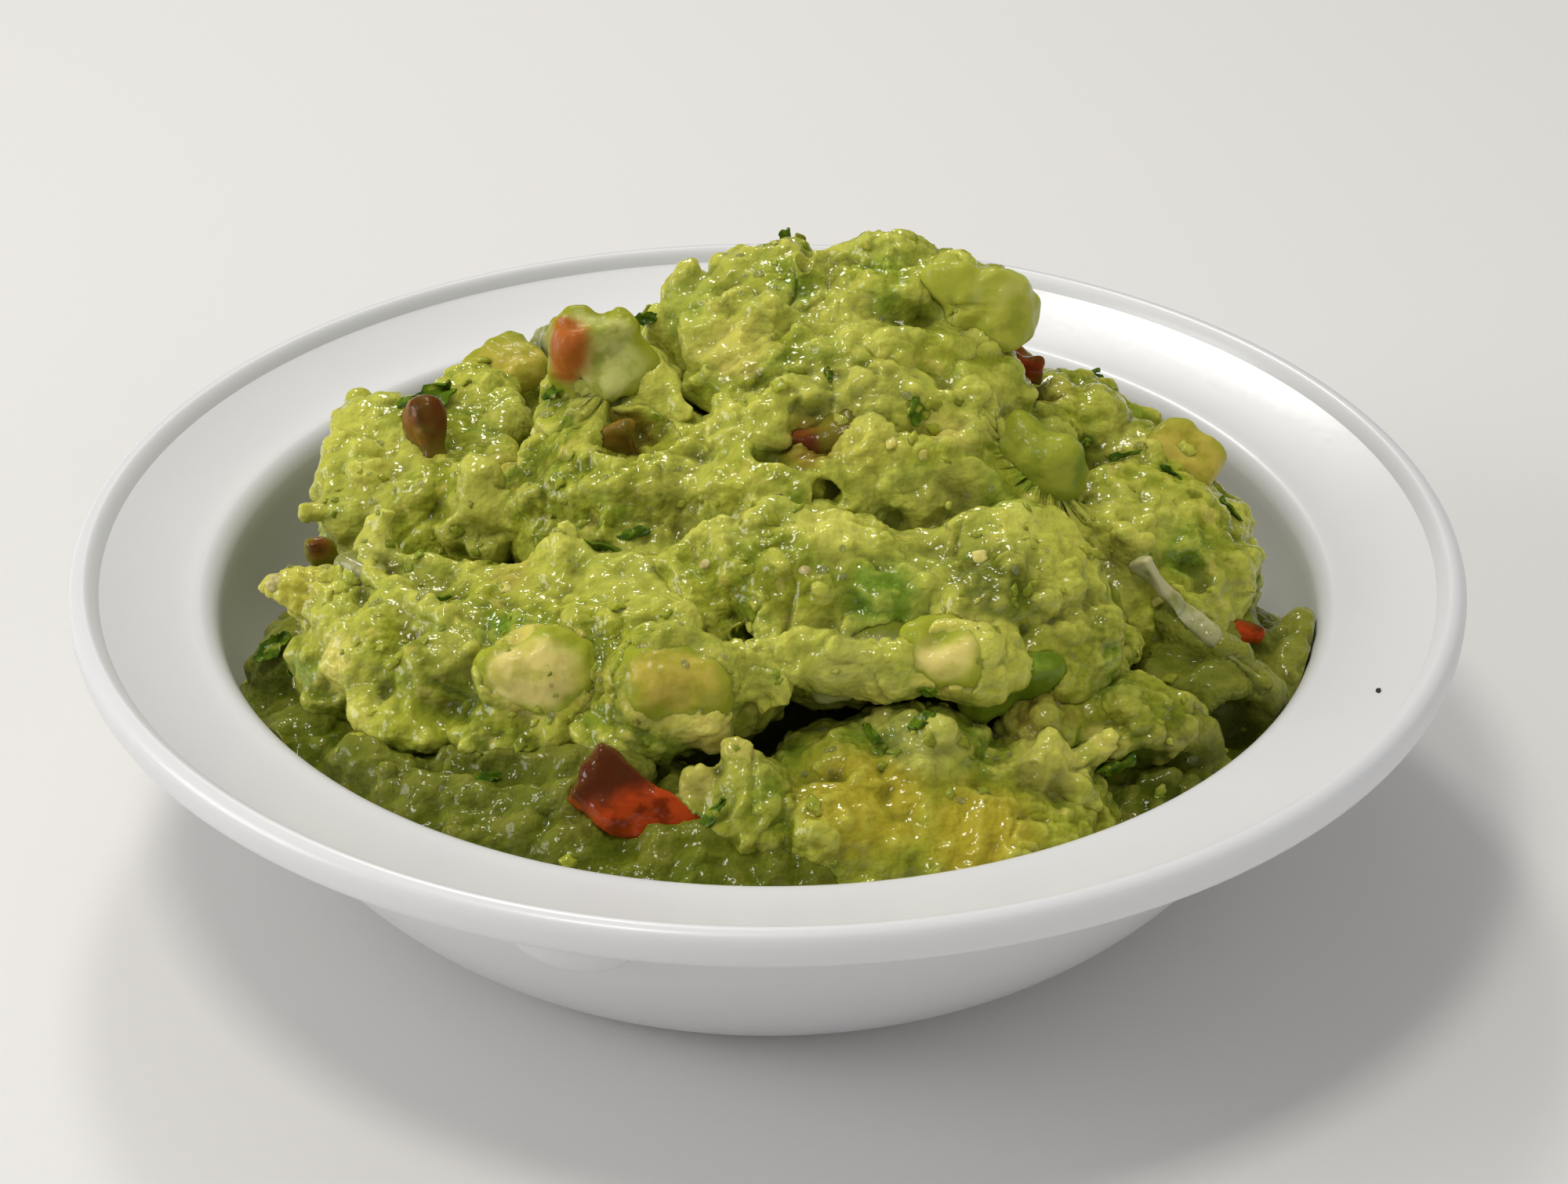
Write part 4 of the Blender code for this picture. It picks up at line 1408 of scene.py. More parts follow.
CROWN = Spoonful(
    "crown",
    (
        Lump((8, 13, 52), (19, 15, 13.5)),
        Lump((-6, 11, 57), (7.4, 8.4, 7.6)),
        Lump((1, 15, 60.6), (8, 8.4, 6.6)),
        Lump((15.6, 14, 60.6), (8, 8.4, 7.4)),
        Lump((23.6, 12, 59), (5.4, 7.4, 7.2)),
        Lump((-3.6, 3, 58.4), (6, 4.6, 3.6)),
        Lump((-1.8, 6.4, 61.4), (4, 3.4, 3.2)),
        Lump((17, 3.6, 58.4), (8, 4.6, 4)),
    ),
    ridges=(
        Ridge(((-10.4, 12, 60.4, 3.0), (-9.6, 13.8, 63.4, 2.2), (-9.2, 14, 65.4, 1.3))),
        Ridge(((-3.6, 14, 64.4, 2.4), (-1.6, 15.6, 66.2, 1.6), (1.6, 16.6, 66.4, 1.8))),
        Ridge(((5.4, 15, 64.4, 2.2), (7.6, 16, 65.2, 1.7), (11, 16, 66, 1.7), (15.6, 15.6, 66.8, 2.0))),
        Ridge(((19.6, 13, 65, 2.4), (23.4, 12.4, 66, 1.8), (25, 10.6, 63.4, 1.8))),
        Ridge(((23.2, 9, 64.2, 1.9), (23.6, 7.4, 61.4, 1.9), (22.4, 5, 58.6, 2.0))),
        Ridge(((-13.2, 9, 58.4, 2.2), (-13.4, 9, 61.4, 1.5))),
        Ridge(((0.6, 7, 63.8, 1.7), (0.6, 4.6, 61.6, 1.7), (-2, 2.4, 60.2, 2.0))),
        Ridge(((8.6, 7.4, 64, 1.8), (9.6, 5.0, 61.6, 1.8), (13, 2.0, 60, 2.0))),
        Ridge(((-4, 8, 64, 1.6), (-6.4, 5.6, 62, 1.6), (-8.4, 3, 59.6, 1.9))),
    ),
    hollows=(
        Lump((-12.2, 2.4, 61.2), (2.2, 3.6, 2.0), 10),
        Lump((4.4, 14, 68.4), (1.3, 5, 2.8)),
    ),
    knobs=150,
    knob_size=(0.9, 2.2),
    seed=141,
    voxel=0.38,
)

RIGHT = Spoonful(
    "right",
    (
        Lump((42, -4, 35), (16, 18, 12.5), 15),
        Lump((34, 13, 37), (17, 14, 13), -20),
        Lump((40, -15, 39.5), (5.4, 6, 7)),
        Lump((46.4, -6, 41.6), (8, 6, 3.6)),
        Lump((53, -1, 38.6), (5, 6, 4.6)),
        Lump((30.4, 2, 49), (6, 5, 4)),
        Lump((37, 9, 48), (6, 5, 3.6)),
        Lump((44, 4, 44.6), (6, 5, 3.6)),
        Lump((50, -12, 38), (4.6, 4, 4)),
    ),
    ridges=(
        Ridge((
            (45.6, -9.6, 45, 1.8), (43.4, -12.4, 45.2, 1.9), (40.6, -15.4, 43.6, 2.2),
            (38.6, -18, 40.6, 2.4),
        )),
        Ridge(((28, -3, 50.6, 2.0), (27.6, -8.6, 50, 1.6), (28.4, -13, 48, 1.8))),
        Ridge(((33, -13.4, 46.6, 2.2), (37.6, -13.6, 45.6, 2.2), (41.6, -9.4, 45.2, 2.0))),
        Ridge(((53.4, -3, 41.4, 2.0), (56.0, -4.2, 38.4, 2.0), (56.4, -6.4, 34.6, 2.2))),
        Ridge(((49.4, -15.6, 36, 2.4), (53, -14.6, 35.6, 2.2), (54.6, -13.6, 36.6, 1.0))),
    ),
    hollows=(Lump((48.0, -17.6, 43.4), (3.4, 2.6, 3.0)),),
    knobs=170,
    knob_size=(0.9, 2.3),
    seed=151,
    voxel=0.48,
)

BACK = Spoonful(
    "back",
    (
        Lump((2, 29, 34), (30, 19, 19)),
        Lump((24, 29, 30), (18, 15, 15)),
        Lump((-8, 26, 44), (12, 10, 9)),
        Lump((14, 28, 45), (12, 9, 9)),
        Lump((4, 38, 36), (14, 9, 9)),
        Lump((30, 30, 36), (9, 8, 7)),
    ),
    ridges=(
        Ridge(((-22, 33, 38, 3), (-10, 38, 41, 2.8), (4, 38, 43, 2.6))),
        Ridge(((12, 38, 42, 2.8), (24, 34, 41, 2.6), (33, 28, 40, 2.4))),
    ),
    knobs=190,
    knob_size=(1.0, 2.8),
    seed=161,
    voxel=0.55,
)

SPOONFULS = (
    CORE,
    LOWER_LEFT,
    LOWER_FRONT,
    GREEN_LUMP,
    LOWER_RIGHT,
    PALE_CLUSTER,
    RIGHT_LUMP,
    FRONT_LEFT,
    FRONT_RIGHT,
    LEFT,
    BACK_LEFT,
    MIDDLE,
    UPPER_RIDGE,
    MOUND,
    CROWN,
    RIGHT,
    BACK,
)


# ---------------------------------------------------------------- pieces in the mash


@dataclass(frozen=True)
class MorselFinish:
    """A wet cut face of fruit or vegetable, with its skin on one side and mash smeared over it.

    flesh and vein are the two tints of the cut face, depth is how far light soaks in, in mm, and
    soak the share of that for red, green and blue. gloss is the roughness of the juice on it and
    film how much of it there is.
    """

    name: str
    flesh: str
    vein: str
    skin: str
    depth: float = 1.5
    gloss: float = 0.08
    mash: str = "#94962C"
    film: float = 0.4
    soak: Triple = (1.0, 0.6, 0.25)

    def build(self) -> bpy.types.Material:
        """The material, with the skin and the smears where the mesh's numbers say."""
        paint = Painter(self.name)
        veins = paint.ranged(paint.noise(2.6, 3.0), 0.42, 0.64)
        colour = paint.mixed(veins, self.flesh, self.vein)
        colour = paint.mixed(paint.attribute("skin"), colour, self.skin)
        colour = paint.mixed(paint.attribute("smear"), colour, self.mash)
        rough = paint.ranged(paint.noise(3.0), 0.35, 0.7, 0.3, 0.5)
        paint.wet(colour, rough, paint.noise(1.1, 2.0), 0.7, 0.26)
        paint.fix({"IOR": 1.37, "Coat Roughness": self.gloss, "Coat Weight": self.film})
        paint.fix({"Subsurface Weight": 0.6, "Subsurface Radius": self.soak})
        paint.fix({"Subsurface Scale": self.depth * MM})
        return paint.material


# Ripe tomato: orange red juicy flesh, a darker smooth skin.
RED_TOMATO = MorselFinish(
    "tomato_flesh_and_skin", flesh="#AC4216", vein="#742A0C", skin="#572814", depth=0.9, gloss=0.1,
    mash="#56521A", film=1.0,
)
# Tomato deep in the mash, brown from the green around it.
BROWN_TOMATO = MorselFinish(
    "tomato_under_mash", flesh="#7E421C", vein="#4A2812", skin="#5A2412", depth=0.8, gloss=0.2,
    mash="#7A7A22", film=0.6,
)
# The firm pale wall of a tomato, orange brown at its skin.
PALE_TOMATO = MorselFinish(
    "tomato_wall", flesh="#BEC070", vein="#9CA246", skin="#A65E24", depth=1.2, gloss=0.3, mash="#8F9426",
)
# Avocado flesh from near the stone: pale, buttery and smooth.
PALE_AVOCADO = MorselFinish(
    "avocado_flesh", flesh="#D6C878", vein="#BFB65A", skin="#A8A83C", depth=1.2, gloss=0.15,
    mash="#989E2E",
)
# Avocado flesh from near the skin: from yellow green to fresh green.
GREEN_AVOCADO = MorselFinish(
    "avocado_outer_flesh", flesh="#989E34", vein="#7E8826", skin="#627C20", depth=1.1, gloss=0.2,
    mash="#868E26",
)
# Avocado flesh at the top of the heap, with painted light on its upper side, which the finish calls its
# skin.
CROWN_AVOCADO = MorselFinish(
    "avocado_crown_flesh", flesh="#AAAA42", vein="#8E962C", skin="#CFCB8C", depth=1.1, gloss=0.22,
    mash="#A2A63A",
)
# Ripe yellow flesh of the middle of the fruit.
YELLOW_AVOCADO = MorselFinish(
    "avocado_yellow_flesh", flesh="#B8A848", vein="#A09832", skin="#8A8E26", depth=1.2, gloss=0.2,
    mash="#90962A",
)
# White onion, cut: see-through layers with paler veins.
ONION_LAYER = MorselFinish(
    "onion_layer", flesh="#B0AE84", vein="#8B8D50", skin="#868C42", depth=1.6, gloss=0.1, mash="#737A22",
    film=0.8,
)
# Green chilli pepper: waxy, even, dark green skin.
GREEN_PEPPER = MorselFinish(
    "pepper_skin", flesh="#7E9430", vein="#627A1C", skin="#5A6E14", depth=1.0, gloss=0.1, mash="#7C8320",
    film=0.6,
)


@dataclass(frozen=True)
class Morsel:
    """One cut piece of food in the mash: a block with worn edges, its sizes in mm.

    half is its half size before it is tapered, bent and turned, edge how far its edges are worn,
    past 2 until it is nearly oval, and swell how uneven it is. skin_side is the side, in its own
    axes, that has skin, on skin_share of it. smear is the share that mash covers, more so towards
    smear_end along X and, by sunk, away from the way it is shown. The face that looks the way of
    shown is bare within the angle whose cosine is bare.
    """

    name: str
    centre: Triple
    half: Triple
    turn: Triple
    finish: MorselFinish
    slot: str
    stands_for: str = ""
    edge: float = 1.0
    taper: float = 0.0
    bend: float = 0.0
    swell: float = 1.2
    skin_side: Triple = (0.0, 0.0, 1.0)
    skin_share: float = 0.0
    smear: float = 0.3
    smear_end: float = 0.0
    seed: int = 1
    sunk: float = 1.1
    shown: Triple = (0.0, -0.8, 0.6)
    bare: float = 2.0

    def bareness(self, points: np.ndarray) -> np.ndarray:
        """How free of mash the piece is towards places in metres: 1 in the middle of its bare face."""
        away = points / MM - np.array(self.centre)
        way = away / np.maximum(np.linalg.norm(away, axis=1), 0.1)[:, None]
        facing = way @ np.array(Vector(self.shown).normalized())
        facing += 0.14 * rolling_noise(points / MM, 2.4, self.seed + 6)
        return smoothstep((facing - self.bare) / 0.3 + 0.5)

    def cut(self) -> bpy.types.Object:
        """Cut the block, break its edges, and taper and bend it."""
        object_mode()
        bpy.ops.mesh.primitive_cube_add(size=2.0, scale=metres(self.half))
        piece = bpy.context.object
        piece.name = self.name
        settle(piece)
        modify(piece, "BEVEL", width=min(self.edge, 0.8 * min(self.half)) * MM, segments=3)
        modify(piece, "REMESH", mode="VOXEL", voxel_size=0.28 * MM)
        modify(piece, "SMOOTH", factor=0.5, iterations=4)
        if self.taper:
            modify(piece, "SIMPLE_DEFORM", deform_method="TAPER", factor=self.taper, deform_axis="X")
        if self.bend:
            angle = math.radians(self.bend)
            modify(piece, "SIMPLE_DEFORM", deform_method="BEND", angle=angle, deform_axis="Y")
        return piece

    def wear(self, piece: bpy.types.Object) -> tuple[np.ndarray, np.ndarray]:
        """Round the piece towards an oval and make its faces uneven.

        Args:
            piece: the cut block.

        Returns:
            Its points before they were made uneven, in mm, and as shares of the half size.
        """
        points = read_points(piece) / MM
        share = points / np.array(self.half)
        round_share = 0.75 * min(max(self.edge - 2.0, 0.0), 1.0)
        oval = points / np.maximum(np.linalg.norm(share, axis=1), 0.1)[:, None]
        points += round_share * (1.06 * oval - points)
        write_points(piece, points * MM)
        noise = rolling_noise(points + 10.0 * self.seed, 4.4, self.seed) * 0.5 * self.swell
        noise += rolling_noise(points, 1.9, self.seed + 1) * 0.3
        noise += rolling_noise(points, 0.9, self.seed + 2) * 0.1
        write_points(piece, (points + read_normals(piece) * noise[:, None]) * MM)
        return points, share

    def dress(self, piece: bpy.types.Object, points: np.ndarray, share: np.ndarray) -> None:
        """Store where the piece has skin, and smear mash over it, as a layer of its own.

        Args:
            piece: the worn piece.
            points: its places in mm.
            share: the same as shares of the half size.
        """
        side = share @ np.array(self.skin_side) + rolling_noise(points, 2.0, self.seed + 3) * 0.18
        write_attribute(piece, "skin", smoothstep((side - 1.0 + 2.0 * self.skin_share) / 0.5))
        patchy = rolling_noise(points, 2.8, self.seed + 4) + 0.6 * rolling_noise(points, 1.1, self.seed + 5)
        cover = patchy * 0.32 + self.smear * 2.0 - 1.0 + self.smear_end * share[:, 0]
        unturned = turned(self.turn).to_matrix().inverted() @ Vector(self.shown).normalized()
        outward = share / np.maximum(np.linalg.norm(share, axis=1), 0.1)[:, None]
        facing = outward @ np.array(unturned)
        cover += self.sunk * (0.55 - facing)
        border = smoothstep((self.bare + 0.3 - facing + 0.12 * patchy) / 0.3) if self.bare < 1.0 else 0.0
        smear = np.maximum(smoothstep(cover / 1.1 + 0.5), border)
        write_attribute(piece, "smear", smear)
        layer = smear * (0.15 + 0.4 * rolling_noise(points, 1.5, self.seed + 7))
        write_points(piece, read_points(piece) + read_normals(piece) * layer[:, None] * MM)

    def build(self, material: bpy.types.Material) -> bpy.types.Object:
        """Cut, wear and dress the piece and put it in its place.

        Args:
            material: what it is made of.

        Returns:
            The piece.
        """
        piece = self.cut()
        points, share = self.wear(piece)
        self.dress(piece, points, share)
        piece.rotation_euler = turned(self.turn)
        piece.location = metres(self.centre)
        settle(piece)
        shade(piece)
        give_material(piece, material)
        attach(piece, ROOT)
        if self.stands_for:
            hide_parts(self.stands_for)
        return piece


MORSELS = (
    Morsel(
        "tomato_front_wedge", (-12.8, -53.4, 33.4), (8.4, 3.2, 2.1), (40, 21, -26), RED_TOMATO, "tomato",
        stands_for="tomato_front", edge=1.2, taper=-0.5, bend=16, swell=2.0, skin_side=(-0.8, 0.3, 0.3),
        skin_share=0.3, smear=0.2, smear_end=-0.4, seed=2, sunk=0.3,
    ),
    Morsel(
        "tomato_left_wedge", (-41.1, 6.6, 44.8), (5.4, 1.5, 3.4), (0, 58, -66), BROWN_TOMATO, "tomato",
        stands_for="tomato_left", edge=0.9, taper=0.3, bend=14, swell=4.6, skin_side=(0.0, 0.6, 0.8),
        skin_share=0.3, smear=0.46, smear_end=0.3, seed=3, sunk=0.3,
    ),
    Morsel(
        "tomato_crown_wall", (-19.2, 4.4, 57.8), (5.0, 4.2, 7.2), (6, -16, 14), PALE_TOMATO, "tomato",
        stands_for="tomato_crown", edge=2.2, taper=-0.3, swell=5.4, skin_side=(-0.8, -0.2, 0.6),
        skin_share=0.2, smear_end=0.3, seed=4, sunk=0.7, shown=(-0.2, -0.8, 0.6), bare=0.4,
    ),
    Morsel(
        "tomato_middle_strip", (-17.0, -6.2, 50.2), (5.0, 1.4, 3.0), (10, 74, -20), BROWN_TOMATO,
        "tomato", stands_for="tomato_middle", edge=0.8, taper=0.2, bend=14, swell=4.4,
        skin_side=(0.0, -1.0, 0.0), skin_share=0.2, smear=0.5, seed=5, sunk=0.3,
    ),
    Morsel(
        "tomato_centre_strip", (3.8, -8.6, 53.4), (6.0, 1.3, 2.8), (30, -8, 8), BROWN_TOMATO, "tomato",
        stands_for="tomato_centre", edge=0.8, taper=0.3, bend=16, swell=4.4, skin_side=(0.0, -0.8, 0.6),
        skin_share=0.2, smear=0.46, seed=6, sunk=0.3,
    ),
    # Its skin side is on top, and is painted light.
    Morsel(
        "avocado_crown_slab", (24.0, 8.2, 60.8), (4.8, 4.8, 6.2), (6, 4, -8), CROWN_AVOCADO,
        "avocado_green", stands_for="avocado_crown", edge=2.6, taper=-0.1, swell=6.8,
        skin_side=(0.3, 0.0, 1.0), skin_share=0.04, smear=0.66, smear_end=-0.3, seed=7, sunk=0.8,
    ),
    Morsel(
        "avocado_back_wedge", (48.8, 3.6, 44.8), (4.8, 3.6, 3.2), (8, 22, -24), YELLOW_AVOCADO,
        "avocado_pale", stands_for="avocado_back_right", edge=1.8, taper=-0.3, swell=3.0,
        skin_side=(0.5, 0.0, -0.8), skin_share=0.2, smear=0.34, smear_end=-0.2, seed=8,
    ),
    # Its skin side, on the right, is painted shade: a darker green.
    Morsel(
        "avocado_round_lump", (31.2, -7.2, 50.0), (4.6, 4.4, 4.8), (0, 0, 12), GREEN_AVOCADO,
        "avocado_green", stands_for="avocado_round", edge=3.0, swell=3.4, skin_side=(0.9, -0.2, -0.2),
        skin_share=0.3, smear=0.34, seed=9, sunk=0.9, bare=0.3,
    ),
    Morsel(
        "avocado_left_lump", (-24.8, -38.2, 40.8), (6.0, 4.4, 4.8), (0, 8, 14), PALE_AVOCADO,
        "avocado_pale", stands_for="avocado_front_left", edge=3.4, taper=0.1, swell=2.2,
        skin_side=(-0.3, 0.0, -1.0), skin_share=0.16, smear=0.04, smear_end=-0.1, seed=10, sunk=1.0,
        bare=0.5,
    ),
    Morsel(
        "avocado_middle_lump", (-10.0, -41.0, 41.8), (6.4, 5.2, 5.2), (0, 10, 4), YELLOW_AVOCADO,
        "avocado_pale", stands_for="avocado_front_middle", edge=4.4, swell=2.6,
        skin_side=(0.3, 0.0, -1.0), skin_share=0.2, smear=0.2, seed=11, sunk=1.0, bare=0.6,
    ),
    Morsel(
        "avocado_ledge_lump", (18.8, -38.2, 43.6), (4.8, 3.6, 3.2), (0, 12, -8), PALE_AVOCADO,
        "avocado_pale", stands_for="avocado_front_right", edge=3.0, swell=2.6,
        skin_side=(0.2, 0.0, -1.0), skin_share=0.2, smear=0.2, seed=12, sunk=1.0, bare=0.62,
    ),
    Morsel(
        "onion_ledge_piece", (9.8, -37.8, 42.2), (6.0, 2.8, 3.0), (8, -12, 3), ONION_LAYER, "onion",
        stands_for="onion_front", edge=1.8, bend=12, swell=1.6, skin_share=0.1, smear=0.5, smear_end=0.3,
        seed=13,
    ),
    Morsel(
        "onion_right_strip", (48.6, -23.8, 38.3), (10.6, 1.1, 0.7), (24, 40, -29), ONION_LAYER, "onion",
        stands_for="onion_right", edge=0.6, bend=-34, swell=2.0, skin_side=(0.0, 0.0, -1.0), smear=0.44,
        smear_end=0.6, seed=14, sunk=0.3,
    ),
    Morsel(
        "pepper_front_piece", (26.6, -37.6, 40.0), (5.6, 1.9, 3.0), (18, -12, 14), GREEN_PEPPER,
        "pepper", stands_for="pepper_front", edge=1.5, taper=-0.7, bend=10, skin_side=(0.0, -1.0, 0.0),
        skin_share=0.3, smear=0.14, smear_end=-0.3, seed=15,
    ),
    Morsel(
        "tomato_rim_bit", (54.4, -18.0, 34.2), (2.8, 1.1, 1.1), (0, 8, -14), RED_TOMATO, "tomato",
        edge=0.7, taper=0.2, swell=2.0, skin_share=0.1, smear=0.4, seed=16,
    ),
    Morsel(
        "tomato_far_left_bit", (-52.6, -6.2, 38.2), (1.8, 1.2, 1.6), (0, 0, 30), BROWN_TOMATO, "tomato",
        edge=0.8, swell=1.6, skin_share=0.1, smear=0.5, seed=17,
    ),
    Morsel(
        "tomato_behind_crown", (30.4, 10.6, 53.8), (2.6, 1.8, 1.6), (0, 10, 0), RED_TOMATO, "tomato",
        edge=0.8, swell=0.6, skin_share=0.1, smear=0.42, seed=18,
    ),
    Morsel(
        "tomato_back_chunk", (-12.0, 32.0, 46.0), (5.4, 4.0, 2.6), (12, -18, 34), RED_TOMATO, "tomato",
        edge=1.2, taper=-0.3, bend=14, swell=1.6, skin_side=(0.0, 0.6, 0.8), skin_share=0.24, smear=0.34,
        seed=19,
    ),
    Morsel(
        "tomato_back_strip", (29.0, 34.0, 44.0), (5.4, 2.8, 2.6), (-10, 20, -30), BROWN_TOMATO, "tomato",
        edge=1.4, bend=16, swell=1.0, skin_side=(0.0, 0.6, 0.8), skin_share=0.3, seed=20,
    ),
    Morsel(
        "avocado_back_chunk", (10.0, 38.0, 48.0), (6.4, 5.0, 4.4), (-14, 6, 18), GREEN_AVOCADO,
        "avocado_green", edge=2.2, swell=1.8, skin_side=(0.0, 1.0, -0.2), skin_share=0.3, seed=21,
    ),
    Morsel(
        "avocado_back_left_chunk", (-33.0, 28.0, 43.0), (5.6, 4.6, 3.8), (0, -16, 40), YELLOW_AVOCADO,
        "avocado_pale", edge=2.0, swell=1.6, skin_side=(0.0, 1.0, -0.2), skin_share=0.3, smear=0.34,
        seed=22,
    ),
    Morsel(
        "onion_face_piece", (23.0, -33.2, 45.4), (3.6, 1.8, 2.4), (-24, 0, 8), ONION_LAYER, "onion",
        edge=0.8, swell=0.6, smear=0.44, seed=23,
    ),
    Morsel(
        "onion_left_piece", (-46.2, -19.6, 41.6), (3.0, 1.8, 2.6), (-20, 0, -30), ONION_LAYER, "onion",
        edge=0.8, swell=0.6, smear=0.46, seed=24,
    ),
    Morsel(
        "onion_back_piece", (-24.0, 36.0, 44.6), (6.0, 3.0, 1.0), (-30, 10, 20), ONION_LAYER, "onion",
        edge=0.7, bend=30, swell=0.6, smear_end=0.3, seed=25,
    ),
    Morsel(
        "pepper_right_piece", (53.6, -9.4, 35.8), (4.2, 1.6, 3.4), (10, 8, -30), GREEN_PEPPER, "pepper",
        edge=1.4, taper=-0.3, bend=8, swell=0.8, skin_side=(0.0, -1.0, 0.0), skin_share=0.2, seed=26,
    ),
)


@dataclass(frozen=True)
class Nest:
    """How mash and the cut pieces in it meet: distances in mm.

    Mash near a piece creeps up its sides by as much as rise and leaves a film that fades out over
    cling. Within reach of the piece's bare face it is pressed under the surface.
    """

    reach: float = 3.0
    near: float = 1.6
    rise: float = 0.45
    under: float = 0.2
    cling: float = 1.4

    def settle_in(
        self, pairs: list[tuple[Morsel, bpy.types.Object]], spoonfuls: list[bpy.types.Object]
    ) -> None:
        """Join every cut piece to the mash around it.

        Args:
            pairs: the cut pieces, with what they were built from.
            spoonfuls: the mash.
        """
        graph = bpy.context.evaluated_depsgraph_get()
        pastes = [BVHTree.FromObject(piece, graph) for piece in spoonfuls]
        places = [read_points(piece) for piece in spoonfuls]
        normals = [read_normals(piece) for piece in spoonfuls]
        moves = [np.zeros_like(points) for points in places]
        for morsel, piece in pairs:
            tree = BVHTree.FromObject(piece, graph)
            own = read_points(piece)
            low = own.min(axis=0) - self.reach * MM
            high = own.max(axis=0) + self.reach * MM
            bare = morsel.bareness(own)
            film = np.zeros(len(own))
            for paste, points, normal, move in zip(pastes, places, normals, moves):
                close = np.flatnonzero(((points > low) & (points < high)).all(axis=1))
                if len(close):
                    shares = morsel.bareness(points[close])
                    self.creep(points, normal, close, shares, tree, move)
                    self.coat(own, paste, film)
            smear = np.empty(len(own), np.float32)
            piece.data.attributes["smear"].data.foreach_get("value", smear)
            write_attribute(piece, "smear", np.maximum(smear, film * (1.0 - bare)))
        for piece, points, move in zip(spoonfuls, places, moves):
            write_points(piece, points + move)

    def creep(
        self,
        points: np.ndarray,
        normals: np.ndarray,
        close: np.ndarray,
        shares: np.ndarray,
        tree: BVHTree,
        moves: np.ndarray,
    ) -> None:
        """Note how the mash close to a piece moves: up its sides, and off its bare face.

        Args:
            points: the mash's points in metres.
            normals: their normals.
            close: which of them are close to the piece.
            shares: how bare the piece is towards each of those.
            tree: the piece.
            moves: the moves in metres, added to.
        """
        for i, bare in zip(close, shares):
            place = Vector(points[i])
            hit, face, _, away = tree.find_nearest(place, self.reach * MM)
            if not hit:
                continue
            above = away if (place - hit).dot(face) > 0.0 else -away
            if bare > 0.0 and above > -self.under * MM:
                moves[i] -= np.array(face) * (above + self.under * MM) * bare
            if 0.0 < above < self.near * MM:
                share = 1.0 - above / (self.near * MM)
                moves[i] += normals[i] * self.rise * MM * share * share * (1.0 - bare)

    def coat(self, own: np.ndarray, paste: BVHTree, film: np.ndarray) -> None:
        """Note how much mash clings to each point of a piece."""
        for i, row in enumerate(own):
            place = Vector(row)
            hit, face, _, away = paste.find_nearest(place, self.cling * MM)
            if hit:
                outside = (place - hit).dot(face) > 0.0
                film[i] = max(film[i], 1.0 - away / (self.cling * MM) if outside else 1.0)


class Surface:
    """The outside of all the mash, to lay leaves and grains on."""

    def __init__(self, pieces: list[bpy.types.Object]) -> None:
        """Index the pieces' faces."""
        graph = bpy.context.evaluated_depsgraph_get()
        self.trees = [BVHTree.FromObject(piece, graph) for piece in pieces]
        self.points = np.concatenate([read_points(piece) for piece in pieces])
        self.normals = np.concatenate([read_normals(piece) for piece in pieces])

    def nearest(self, place: Vector) -> tuple[Vector, Vector]:
        """The outer place nearest to a place, and its normal."""
        hits = [tree.find_nearest(place) for tree in self.trees]
        hits = sorted((hit for hit in hits if hit[0]), key=lambda hit: hit[3])
        for point, normal, _, _ in hits:
            if self.is_open(point, normal):
                return point, normal
        return hits[0][0], hits[0][1]

    def is_open(self, point: Vector, normal: Vector) -> bool:
        """Whether a place on a piece is outside every other piece."""
        start = point + normal * 0.08 * MM
        for tree in self.trees:
            hit, face, _, _ = tree.ray_cast(start, normal, 60.0 * MM)
            if hit and face.dot(normal) > 0.0:
                return False
        return True

    def sample(self, count: int, seed: int, lowest: float) -> list[tuple[Vector, Vector]]:
        """Random open places, bunched as crumbs are.

        Args:
            count: how many.
            seed: picks the places.
            lowest: the least height, in mm.

        Returns:
            Places and normals.
        """
        random = np.random.default_rng(seed)
        bunched = rolling_noise(self.points / MM, 7.0, seed) > 0.05
        fit = np.flatnonzero(bunched & (self.points[:, 2] > lowest * MM) & (self.normals[:, 2] > -0.1))
        found = []
        for pick in random.choice(fit, count * 3, replace=False):
            point = Vector(self.points[pick])
            normal = Vector(self.normals[pick])
            if self.is_open(point, normal):
                found.append((point, normal))
            if len(found) == count:
                break
        return found


